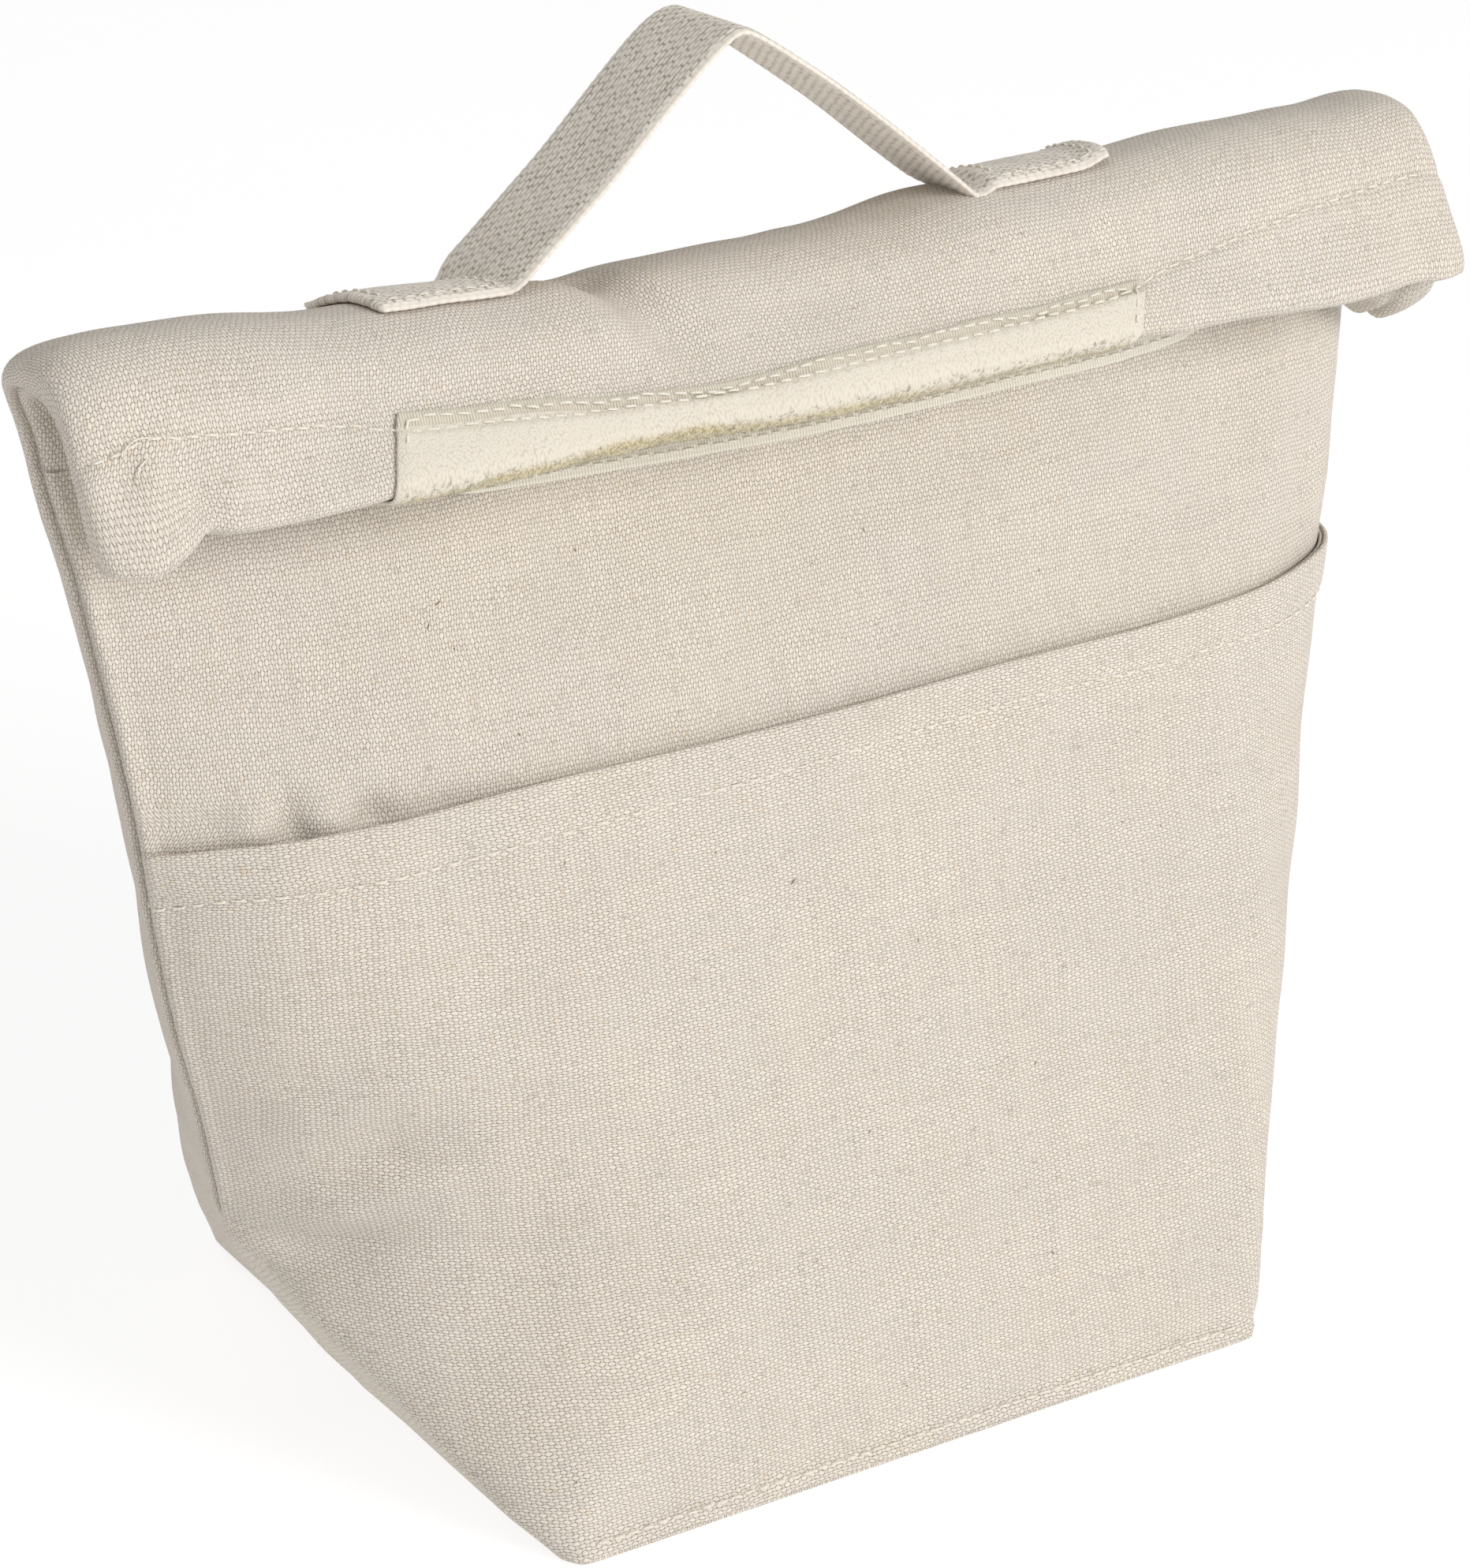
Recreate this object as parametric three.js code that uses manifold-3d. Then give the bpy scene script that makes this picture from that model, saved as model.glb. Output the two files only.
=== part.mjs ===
// Rolltop cooler bag: canvas shell, foam insulation, foil lining, rolled top with
// hook-and-loop closure, front pocket and webbing handle. Millimetres, +Z up.
// Origin: centre of the base, on the floor. -Y is the pocket side, +X runs along the roll.
import * as THREE from 'three';
import { mergeVertices } from 'three/addons/utils/BufferGeometryUtils.js';
import Module from 'manifold-3d';

const wasm = await Module();
wasm.setup();

// ---- driving dimensions -------------------------------------------------
const BASE_HW = 89;          // half width of the base
const BASE_HD = 79;          // half depth of the canvas at the base
const WALL_SLOPE = 0.3285;   // front and back walls lean in by this much per mm of height
const NECK_FRONT = 5.4;      // the neck's front skin is at y = -NECK_FRONT
const NECK_BACK = 11.6;      // and its back skin at y = +NECK_BACK
const NECK_TOP = 237.5;      // top of the neck
const BACK_TOP = 250.4;      // the back panel runs on up to the fold line
const ROLL_TOP_Z = 252;      // outer skin of the roll's top
const ROLL_HW = 165;         // half length of the roll (flat width of the bag is twice this)
const FOLD_Y = -27.5;        // front fold line of the roll
const FLAP_LEN = 33.5;       // flap, from the front fold to its lower fold
const HEM_START = 17;        // the tucked-under mouth runs from here to the lower fold
const LAYER = 12.8;          // thickness of one folded layer (two walls and the passage between)
const LAYER_GAP = 0.4;
const CANVAS = 1.2;
const FOAM = 3.0;
const FOIL = 0.6;
const GAP = 0.3;             // clearance between neighbouring flat layers
const WALL_GAP = 0.45;       // and between the curved layers of the walls
const POCKET_TOP = 151.5;
const POCKET_GAPE = 8.0;     // how far the pocket mouth stands off the front panel
const TAPE_X = [-97, 79];    // loop tape, end to end
const HOOK_X = [-76, 112];   // hook tape, end to end
const STRAP_W = 25;          // webbing width
const STRAP_T = 2.0;         // webbing thickness
const STRAP_Y = -7.5;        // middle of the webbing on the roll
const HANDLE_AXIS_Z = 255.8; // swing axis of the handle
const HANDLE_L = [-69, 253.3], HANDLE_APEX = [-15.5, 297.5], HANDLE_R = [46, 253.3];
const TAB_L = -106, TAB_R = 79;

// side seam: [height, half width]
const SEAM = [[0, 89], [8, 96], [16, 102], [26, 108.5], [42, 119], [50, 124], [57, 127.3], [67, 129.6],
  [84, 132.5], [103, 137], [127, 141.3], [155, 145.3], [177, 149.6], [198, 154.5], [211, 157], [227, 160], [260, 164.5]];

// ---- materials ------------------------------------------------------------
const MAT = {
  canvas: { color: 0xded4c3, roughness: 0.95, metalness: 0 },
  pocket: { color: 0xd9cfbd, roughness: 0.95, metalness: 0 },
  foam: { color: 0xf0efe9, roughness: 0.9, metalness: 0 },
  foil: { color: 0xc9ccd0, roughness: 0.3, metalness: 0.9 },
  loop: { color: 0xe2dabc, roughness: 1, metalness: 0 },
  hook: { color: 0xe4decb, roughness: 0.6, metalness: 0 },
  webbing: { color: 0xdcd3c3, roughness: 0.9, metalness: 0 },
  thread: { color: 0xf1ece1, roughness: 0.8, metalness: 0 },
};

const bag = new THREE.Group();
function put(name, geometry, mat) {
  const mesh = new THREE.Mesh(geometry, new THREE.MeshStandardMaterial(MAT[mat]));
  mesh.name = name;
  bag.add(mesh);
}

// ---- helpers ----------------------------------------------------------------
function interp(table, x) {
  if (x <= table[0][0]) return table[0][1];
  for (let i = 1; i < table.length; i++) {
    const [x0, y0] = table[i - 1], [x1, y1] = table[i];
    if (x <= x1) return y0 + (y1 - y0) * (x - x0) / (x1 - x0);
  }
  return table[table.length - 1][1];
}
const clamp = (v, lo, hi) => Math.min(hi, Math.max(lo, v));
const smooth = (v) => { const t = clamp(v, 0, 1); return t * t * (3 - 2 * t); };

// Half of the bag's outline at height z, from seam to seam, interior on the left.
// side -1 is the front half (left seam to right seam), +1 the back half (right to left).
function outline(z, side, frontPoints) {
  const depth = Math.max(side < 0 ? NECK_FRONT : NECK_BACK, BASE_HD - WALL_SLOPE * z);
  const xs = interp(SEAM, z);
  const xc = Math.min(BASE_HW + 0.33 * z, xs - 3 * smooth(z / 20));
  const ys = 2.6 * smooth((z - 195) / 30);
  const seam = [-xs, ys + 0.2 * side], corner = [-xc, side * depth];
  const len = Math.hypot(seam[0] - corner[0], seam[1] - corner[1]);
  const a = Math.min(side < 0 ? 4 + 0.25 * z : 5 + 0.4 * z, side < 0 ? 18 : 26, 0.45 * len);
  const p1 = [corner[0] + (seam[0] - corner[0]) * a / len, corner[1] + (seam[1] - corner[1]) * a / len];
  const p2 = [corner[0] + a, corner[1]];
  const pts = [seam, [(seam[0] + p1[0]) / 2, (seam[1] + p1[1]) / 2]];
  for (let i = 0; i <= 3; i++) {
    const t = i / 3, u = 1 - t;
    pts.push([u * u * p1[0] + 2 * u * t * corner[0] + t * t * p2[0], u * u * p1[1] + 2 * u * t * corner[1] + t * t * p2[1]]);
  }
  for (let i = 1; i <= frontPoints; i++) pts.push([p2[0] * (1 - i / (frontPoints + 0.5)), corner[1]]);
  const right = pts.map(([x, y]) => [-x, y]).reverse();
  const all = pts.concat(right);
  return side < 0 ? all : all.reverse();
}

// Point i of a polyline moved inwards (to its left) by t.
function inset(pts, i, t) {
  const dir = (a, b) => { const l = Math.hypot(b[0] - a[0], b[1] - a[1]); return [(b[0] - a[0]) / l, (b[1] - a[1]) / l]; };
  const n = pts.length;
  if (i === 0 || i === n - 1) {
    const d = i === 0 ? dir(pts[0], pts[1]) : dir(pts[n - 2], pts[n - 1]);
    const nx = -d[1], ny = d[0];
    if (Math.abs(nx) < 0.2) return [pts[i][0] + nx * t, pts[i][1] + ny * t];
    return [pts[i][0] + t / nx, pts[i][1]];
  }
  const d0 = dir(pts[i - 1], pts[i]), d1 = dir(pts[i], pts[i + 1]);
  let nx = -d0[1] - d1[1], ny = d0[0] + d1[0];
  const l = Math.hypot(nx, ny); nx /= l; ny /= l;
  const c = Math.max(0.5, nx * -d0[1] + ny * d0[0]);
  return [pts[i][0] + nx * t / c, pts[i][1] + ny * t / c];
}

// Closed shell between two insets of a stack of outlines. levels: [[z, points], ...].
function shell(levels, outerAt, innerAt) {
  const K = levels.length, M = levels[0][1].length, pos = [], idx = [];
  for (const at of [outerAt, innerAt]) {
    levels.forEach(([z, pts]) => pts.forEach((p, i) => { const q = inset(pts, i, at(i, z, pts)); pos.push(q[0], q[1], z); }));
  }
  const o = (k, i) => k * M + i, n = (k, i) => K * M + k * M + i;
  const quad = (a, b, c, d) => idx.push(a, b, c, a, c, d);
  for (let k = 0; k < K - 1; k++) {
    for (let i = 0; i < M - 1; i++) {
      quad(o(k, i), o(k, i + 1), o(k + 1, i + 1), o(k + 1, i));
      idx.push(n(k, i), n(k + 1, i + 1), n(k, i + 1), n(k, i), n(k + 1, i), n(k + 1, i + 1));
    }
    quad(o(k, 0), o(k + 1, 0), n(k + 1, 0), n(k, 0));
    quad(o(k, M - 1), n(k, M - 1), n(k + 1, M - 1), o(k + 1, M - 1));
  }
  for (let i = 0; i < M - 1; i++) {
    quad(o(0, i), n(0, i), n(0, i + 1), o(0, i + 1));
    quad(o(K - 1, i), o(K - 1, i + 1), n(K - 1, i + 1), n(K - 1, i));
  }
  const g = new THREE.BufferGeometry();
  g.setAttribute('position', new THREE.Float32BufferAttribute(pos, 3));
  g.setIndex(idx);
  return g;
}
const fixed = (t) => () => t;

// Polygon in the (y, z) plane extruded along x.
function alongX(poly, x0, x1) {
  const s = new THREE.Shape(poly.map(([y, z]) => new THREE.Vector2(y, z)));
  const g = new THREE.ExtrudeGeometry(s, { depth: x1 - x0, bevelEnabled: false });
  g.applyMatrix4(new THREE.Matrix4().makeBasis(new THREE.Vector3(0, 1, 0), new THREE.Vector3(0, 0, 1), new THREE.Vector3(1, 0, 0)));
  g.translate(x0, 0, 0);
  return g;
}
// Polygon in the (x, z) plane extruded along -y from y0.
function alongY(poly, y0, depth) {
  const s = new THREE.Shape(poly.map(([x, z]) => new THREE.Vector2(x, z)));
  const g = new THREE.ExtrudeGeometry(s, { depth, bevelEnabled: false });
  g.applyMatrix4(new THREE.Matrix4().makeBasis(new THREE.Vector3(1, 0, 0), new THREE.Vector3(0, 0, 1), new THREE.Vector3(0, -1, 0)));
  g.translate(0, y0, 0);
  return g;
}
// Flat plate with cut corners, lying at z0.
function plate(hx, hy, cut, z0, t) {
  const s = new THREE.Shape([[hx - cut, -hy], [hx, -hy + cut], [hx, hy - cut], [hx - cut, hy], [-hx + cut, hy], [-hx, hy - cut], [-hx, -hy + cut], [-hx + cut, -hy]]
    .map(([x, y]) => new THREE.Vector2(x, y)));
  const g = new THREE.ExtrudeGeometry(s, { depth: t, bevelEnabled: false });
  g.translate(0, 0, z0);
  return g;
}
function solid(g) {
  const c = g.clone();
  c.deleteAttribute('normal');
  c.deleteAttribute('uv');
  const m = mergeVertices(c, 1e-4);
  return new wasm.Manifold(new wasm.Mesh({ numProp: 3, vertProperties: new Float32Array(m.attributes.position.array), triVerts: new Uint32Array(m.index.array) }));
}
function geometry(manifold) {
  const m = manifold.getMesh();
  const g = new THREE.BufferGeometry();
  const pos = [];
  for (let i = 0; i < m.numVert; i++) pos.push(m.vertProperties[i * m.numProp], m.vertProperties[i * m.numProp + 1], m.vertProperties[i * m.numProp + 2]);
  g.setAttribute('position', new THREE.Float32BufferAttribute(pos, 3));
  g.setIndex(Array.from(m.triVerts));
  return g;
}
const join = (...gs) => geometry(gs.map(solid).reduce((a, b) => a.add(b)));

// ---- bag walls ----------------------------------------------------------------
const CANVAS_Z0 = 1.5, FOAM_Z0 = 4.8, FOIL_Z0 = 6.0;
const HEIGHTS = [FOAM_Z0, FOIL_Z0, 14, 26, 42, 57, 84, 127, 165, 198, 212, 224];
const STATIONS = [CANVAS_Z0, ...HEIGHTS, NECK_TOP];
// every layer is cut from the same faceted outlines, so that they nest
function facet(z, side, n) {
  let k = 1;
  while (k < STATIONS.length - 1 && z > STATIONS[k]) k++;
  const za = STATIONS[k - 1], zb = STATIONS[k], t = (z - za) / (zb - za);
  const a = outline(za, side, n), b = outline(zb, side, n);
  return a.map(([x, y], i) => [x + (b[i][0] - x) * t, y + (b[i][1] - y) * t]);
}
const levels = (z0, z1, side) => [z0, ...HEIGHTS.filter((z) => z > z0), z1].map((z) => [z, facet(z, side, 1)]);
const FOAM_AT = CANVAS + WALL_GAP, FOIL_AT = FOAM_AT + FOAM + WALL_GAP;

put('canvas_front', shell(levels(CANVAS_Z0, NECK_TOP, -1), fixed(0), fixed(CANVAS)), 'canvas');
const backLevels = levels(CANVAS_Z0, NECK_TOP, 1);
const nBack = backLevels[0][1].length;
for (const z of [NECK_TOP + 1.3, BACK_TOP]) {
  backLevels.push([z, Array.from({ length: nBack }, (_, i) => [ROLL_HW - 2 - (2 * ROLL_HW - 4) * i / (nBack - 1), NECK_BACK])]);
}
put('canvas_back', shell(backLevels, fixed(0), fixed(CANVAS)), 'canvas');
put('canvas_base', plate(BASE_HW, BASE_HD + 3, 2, 0, CANVAS), 'canvas');

put('foam_front', shell(levels(FOAM_Z0, NECK_TOP - 1, -1), fixed(FOAM_AT), fixed(FOAM_AT + FOAM)), 'foam');
put('foam_back', shell(levels(FOAM_Z0, NECK_TOP - 1, 1), fixed(FOAM_AT), fixed(FOAM_AT + FOAM)), 'foam');
put('foam_base', plate(86.5, 75.8, 7, 1.5, FOAM), 'foam');
put('lining_front', shell(levels(FOIL_Z0, NECK_TOP - 0.5, -1), fixed(FOIL_AT), fixed(FOIL_AT + FOIL)), 'foil');
put('lining_back', shell(levels(FOIL_Z0, NECK_TOP - 0.5, 1), fixed(FOIL_AT), fixed(FOIL_AT + FOIL)), 'foil');
put('lining_base', plate(84, 72, 10, 4.8, FOIL), 'foil');

// ---- front pocket: a sheet over the front panel that stands off it at the mouth ----
const POCKET_PTS = 4;
const pocketLevels = [CANVAS_Z0, FOAM_Z0, FOIL_Z0, 14, 26, 42, 57, 84, 108, 127, 140, POCKET_TOP].map((z) => [z, facet(z, -1, POCKET_PTS)]);
const pocketOff = (i, z, pts) => {
  const half = pts[Math.floor(pts.length / 2)][0] - pts[6][0];
  const u = clamp(Math.abs(pts[i][0]) / Math.abs(half), 0, 1);
  return -(GAP + 0.1 + POCKET_GAPE * (1 - u ** 4) * smooth((z - 60) / 80));
};
put('front_pocket', shell(pocketLevels, (i, z, p) => pocketOff(i, z, p) - CANVAS, pocketOff), 'pocket');
const hemLevels = [139.5, 140.1].map((z) => [z, facet(z, -1, POCKET_PTS)]);
put('pocket_hem_thread', shell(hemLevels, (i, z, p) => pocketOff(i, 140, p) - CANVAS - 0.9, (i, z, p) => pocketOff(i, 140, p) - CANVAS - 0.35), 'thread');
put('base_thread_front', new THREE.BoxGeometry(2 * BASE_HW - 8, 0.5, 0.5).translate(0, -(BASE_HD + 1.35), 3.0), 'thread');
put('base_thread_back', new THREE.BoxGeometry(2 * BASE_HW - 8, 0.5, 0.5).translate(0, BASE_HD - 0.3, 3.0), 'thread');

// ---- hook tape, flat on the sloping front panel under the roll ----
{
  const c = 1 / Math.hypot(1, WALL_SLOPE), s = WALL_SLOPE * c;
  const at = (z, off) => [-(BASE_HD - WALL_SLOPE * z) - off * c, z + off * s];
  put('hook_tape', alongX([at(206.8, 0.3), at(223.2, 0.3), at(223.2, 1.6), at(206.8, 1.6)].reverse(), HOOK_X[0], HOOK_X[1]), 'hook');
}

// ---- the roll ----------------------------------------------------------------
const LEAN = Math.atan(WALL_SLOPE);
const MITRE = Math.tan((Math.PI / 2 - LEAN) / 2);
// top layer: t is the depth below the outer skin
const topYEnd = (t) => FOLD_Y + MITRE * t + 0.15;
const topBar = (t0, t1, yBack) => [[yBack, ROLL_TOP_Z - t1], [yBack, ROLL_TOP_Z - t0], [topYEnd(t0), ROLL_TOP_Z - t0], [topYEnd(t1), ROLL_TOP_Z - t1]];
// flap and hem: s runs down the flap from the front fold, n inwards from its outer skin
const flapAt = (s, n) => [FOLD_Y - Math.sin(LEAN) * s + Math.cos(LEAN) * n, ROLL_TOP_Z - Math.cos(LEAN) * s - Math.sin(LEAN) * n];
const flapBar = (n0, n1) => [flapAt(MITRE * n0 + 0.15, n0), flapAt(FLAP_LEN, n0), flapAt(FLAP_LEN, n1), flapAt(MITRE * n1 + 0.15, n1)];
const HEM_END = FLAP_LEN - GAP; // clear of the flap's end when the mouth is turned up in line with it
const hemBar = (n0, n1) => [flapAt(HEM_START, n0), flapAt(HEM_END, n0), flapAt(HEM_END, n1), flapAt(HEM_START, n1)];
const END = 1.2, HALF = LAYER / 2;
const ccw = (poly) => {
  let a = 0;
  poly.forEach(([x, y], i) => { const [u, v] = poly[(i + 1) % poly.length]; a += x * v - u * y; });
  return a < 0 ? poly.slice().reverse() : poly;
};
// a wall of canvas with a lip at each end that turns to meet the other wall at the side seam
const walled = (wall, lip) => join(alongX(ccw(wall), -ROLL_HW, ROLL_HW), alongX(ccw(lip), -ROLL_HW, -ROLL_HW + END), alongX(ccw(lip), ROLL_HW - END, ROLL_HW));
const sheet = (poly) => alongX(ccw(poly), -ROLL_HW + 2, ROLL_HW - 2);
const yIn = NECK_BACK - CANVAS - GAP;

const roofWall = [[NECK_BACK, ROLL_TOP_Z - CANVAS], [NECK_BACK, ROLL_TOP_Z], [topYEnd(0), ROLL_TOP_Z], [topYEnd(CANVAS), ROLL_TOP_Z - CANVAS]];
put('roll_top_outer', walled(roofWall, topBar(CANVAS / 2, HALF - 0.2, yIn)), 'canvas');
put('roll_top_inner', walled(topBar(LAYER - CANVAS, LAYER, yIn), topBar(HALF + 0.2, LAYER - CANVAS / 2, yIn)), 'canvas');
put('roll_top_lining_outer', sheet(topBar(CANVAS + GAP, CANVAS + GAP + FOIL, yIn)), 'foil');
put('roll_top_lining_inner', sheet(topBar(LAYER - CANVAS - GAP - FOIL, LAYER - CANVAS - GAP, yIn)), 'foil');

put('flap_outer', walled(flapBar(0, CANVAS), flapBar(CANVAS / 2, HALF - 0.2)), 'canvas');
put('flap_inner', walled(flapBar(LAYER - CANVAS, LAYER), flapBar(HALF + 0.2, LAYER - CANVAS / 2)), 'canvas');
put('flap_lining_outer', sheet(flapBar(CANVAS + GAP, CANVAS + GAP + FOIL)), 'foil');
put('flap_lining_inner', sheet(flapBar(LAYER - CANVAS - GAP - FOIL, LAYER - CANVAS - GAP)), 'foil');
put('loop_tape_front', alongX(ccw([flapAt(12.8, -0.3), flapAt(FLAP_LEN - 0.2, -0.3), flapAt(FLAP_LEN - 0.2, -1.7), flapAt(12.8, -1.7)]), TAPE_X[0], TAPE_X[1]), 'loop');
put('mouth_hem_thread', alongX(ccw([flapAt(11.4, -0.2), flapAt(12.0, -0.2), flapAt(12.0, -0.7), flapAt(11.4, -0.7)]), -ROLL_HW + 3, ROLL_HW - 3), 'thread');

const H0 = LAYER + LAYER_GAP, H1 = H0 + LAYER, HM = H0 + HALF;
put('mouth_outer', walled(hemBar(H1 - CANVAS, H1), hemBar(HM + 0.2, H1 - CANVAS / 2)), 'canvas');
put('mouth_inner', walled(hemBar(H0, H0 + CANVAS), hemBar(H0 + CANVAS / 2, HM - 0.2)), 'canvas');
put('mouth_lining_outer', sheet(hemBar(H1 - CANVAS - GAP - FOIL, H1 - CANVAS - GAP)), 'foil');
put('mouth_lining_inner', sheet(hemBar(H0 + CANVAS + GAP, H0 + CANVAS + GAP + FOIL)), 'foil');
put('loop_tape_back', alongX(ccw([flapAt(HEM_START + 1, H1 + 0.3), flapAt(FLAP_LEN - 0.2, H1 + 0.3), flapAt(FLAP_LEN - 0.2, H1 + 1.7), flapAt(HEM_START + 1, H1 + 1.7)]), TAPE_X[0], TAPE_X[1]), 'loop');

// ---- webbing handle ------------------------------------------------------------
// Strap along a path in the x-z plane.
function strap(path) {
  const left = [], right = [];
  path.forEach(([x, z], i) => {
    const a = path[Math.max(0, i - 1)], b = path[Math.min(path.length - 1, i + 1)];
    const d0 = new THREE.Vector2(x - a[0], z - a[1]), d1 = new THREE.Vector2(b[0] - x, b[1] - z);
    if (d0.length() < 1e-6) d0.copy(d1);
    if (d1.length() < 1e-6) d1.copy(d0);
    d0.normalize(); d1.normalize();
    const n = new THREE.Vector2(-d0.y - d1.y, d0.x + d1.x).normalize();
    const c = Math.max(0.6, n.dot(new THREE.Vector2(-d0.y, d0.x)));
    left.push([x + n.x * STRAP_T / 2 / c, z + n.y * STRAP_T / 2 / c]);
    right.push([x - n.x * STRAP_T / 2 / c, z - n.y * STRAP_T / 2 / c]);
  });
  return alongY(right.concat(left.reverse()), STRAP_Y + STRAP_W / 2, STRAP_W);
}
const along = (p, q, d) => { const l = Math.hypot(q[0] - p[0], q[1] - p[1]); return [p[0] + (q[0] - p[0]) * d / l, p[1] + (q[1] - p[1]) * d / l]; };
put('handle_tab_left', strap([[TAB_L, HANDLE_L[1]], [HANDLE_L[0] - 4, HANDLE_L[1]], [HANDLE_L[0] - 1, HANDLE_L[1] + 0.5], along(HANDLE_L, HANDLE_APEX, 2.2)]), 'webbing');
put('handle_tab_right', strap([along(HANDLE_R, HANDLE_APEX, 2.2), [HANDLE_R[0] + 1, HANDLE_R[1] + 0.5], [HANDLE_R[0] + 4, HANDLE_R[1]], [TAB_R, HANDLE_R[1]]]), 'webbing');
const arch = [along(HANDLE_L, HANDLE_APEX, 4.2), along(HANDLE_L, HANDLE_APEX, 30), along(HANDLE_APEX, HANDLE_L, 6)];
for (const t of [0.33, 0.67]) {
  const a = along(HANDLE_APEX, HANDLE_L, 6), b = along(HANDLE_APEX, HANDLE_R, 6), u = 1 - t;
  arch.push([u * u * a[0] + 2 * u * t * HANDLE_APEX[0] + t * t * b[0], u * u * a[1] + 2 * u * t * HANDLE_APEX[1] + t * t * b[1]]);
}
arch.push(along(HANDLE_APEX, HANDLE_R, 6), along(HANDLE_R, HANDLE_APEX, 30), along(HANDLE_R, HANDLE_APEX, 4.2));
// the lower ends rise to both edges, so that the webbing can lean over without digging in
const rise = Math.tan(31.5 * Math.PI / 180) * 16, z0 = HANDLE_AXIS_Z + 0.7;
const notch = alongX(ccw([[STRAP_Y, z0], [STRAP_Y + 16, z0 + rise], [STRAP_Y + 16, z0 - 8], [STRAP_Y - 16, z0 - 8], [STRAP_Y - 16, z0 + rise]]), -90, 70);
put('handle_loop', geometry(solid(strap(arch)).subtract(solid(notch))), 'webbing');

export default bag;
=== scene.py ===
"""Rolltop cooler bag: the looks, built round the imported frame. Lengths in this file are millimetres and are
scaled to metres when a mesh is made. +Z up, -Y the pocket side, +X along the roll."""
import math

import bpy
import numpy as np
from mathutils import Matrix, Vector


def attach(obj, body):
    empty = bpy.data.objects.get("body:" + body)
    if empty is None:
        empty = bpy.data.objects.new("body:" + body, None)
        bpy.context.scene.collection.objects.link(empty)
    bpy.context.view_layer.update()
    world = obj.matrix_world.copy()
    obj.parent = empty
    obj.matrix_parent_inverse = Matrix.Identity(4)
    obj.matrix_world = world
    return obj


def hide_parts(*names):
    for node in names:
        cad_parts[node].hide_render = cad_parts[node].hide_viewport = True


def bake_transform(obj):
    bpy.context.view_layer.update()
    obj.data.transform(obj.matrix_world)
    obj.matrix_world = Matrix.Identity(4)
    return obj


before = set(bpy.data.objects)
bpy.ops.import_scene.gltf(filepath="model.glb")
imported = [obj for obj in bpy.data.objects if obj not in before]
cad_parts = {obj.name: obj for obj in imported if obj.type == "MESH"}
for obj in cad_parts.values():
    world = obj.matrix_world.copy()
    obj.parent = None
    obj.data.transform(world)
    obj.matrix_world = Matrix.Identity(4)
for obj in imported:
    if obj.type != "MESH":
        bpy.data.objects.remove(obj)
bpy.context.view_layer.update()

MM = 0.001

# ------------------------------------------------------------------ sizes shared with the frame
BASE_HW, BASE_HD, SLOPE = 89.0, 79.0, 0.3285
NECK_F, NECK_B = 5.4, 11.6
LEAN = math.atan(SLOPE)
SN, CS = math.sin(LEAN), math.cos(LEAN)
FOLD_Y, TOP_Z = -27.5, 252.0
HALF_CLOTH = 169.0          # half of the cloth's width, seam to seam
SPLIT_Z = 226.0             # the walls hand over to the roll's cloth here
COS_RUN = math.hypot(1.0, SLOPE)
SEAM = [(0, 89), (8, 96), (16, 102), (26, 108.5), (42, 119), (50, 124), (57, 127.3), (67, 129.6), (84, 132.5),
        (103, 137), (127, 141.3), (155, 145.3), (177, 149.6), (198, 154.5), (211, 157), (227, 160), (260, 164.5)]


# ------------------------------------------------------------------ small maths
def smooth(t):
    t = np.clip(t, 0.0, 1.0)
    return t * t * (3 - 2 * t)


def table(pts):
    """A smooth curve through a table of (x, value...), flat beyond its ends."""
    X = np.array([p[0] for p in pts], float)
    Y = np.array([p[1:] for p in pts], float)
    M = np.gradient(Y, X, axis=0)

    def at(x):
        x = np.clip(np.asarray(x, float), X[0], X[-1])
        i = np.clip(np.searchsorted(X, x, side="right") - 1, 0, len(X) - 2)
        h = (X[i + 1] - X[i])[..., None]
        t = ((x - X[i]))[..., None] / h
        a, b, m, n = Y[i], Y[i + 1], M[i] * h, M[i + 1] * h
        r = (2 * t**3 - 3 * t**2 + 1) * a + (t**3 - 2 * t**2 + t) * m + (-2 * t**3 + 3 * t**2) * b + (t**3 - t**2) * n
        return r[..., 0] if r.shape[-1] == 1 else r
    return at


def wobble(u, v, seed):
    """Smooth noise in [-1, 1], the same at every run."""
    g = np.random.RandomState(seed).rand(64, 64) * 2 - 1
    u, v = np.broadcast_arrays(np.asarray(u, float), np.asarray(v, float))
    iu, iv = np.floor(u).astype(int), np.floor(v).astype(int)
    fu, fv = smooth(u - iu), smooth(v - iv)
    a, b = g[iu % 64, iv % 64], g[(iu + 1) % 64, iv % 64]
    c, d = g[iu % 64, (iv + 1) % 64], g[(iu + 1) % 64, (iv + 1) % 64]
    return (a * (1 - fu) + b * fu) * (1 - fv) + (c * (1 - fu) + d * fu) * fv


def soft_max(a, b, k):
    return 0.5 * (a + b + np.sqrt((a - b) ** 2 + k * k)) - 0.0


def unit(v):
    return v / np.maximum(np.linalg.norm(v, axis=-1, keepdims=True), 1e-9)


def bump(u, v, cu, cv, ru, rv, turn=0.0):
    """A soft round or oval swelling of height 1."""
    c, s = math.cos(math.radians(turn)), math.sin(math.radians(turn))
    du, dv = u - cu, v - cv
    a, b = (du * c + dv * s) / ru, (-du * s + dv * c) / rv
    return np.exp(-(a * a + b * b))


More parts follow.
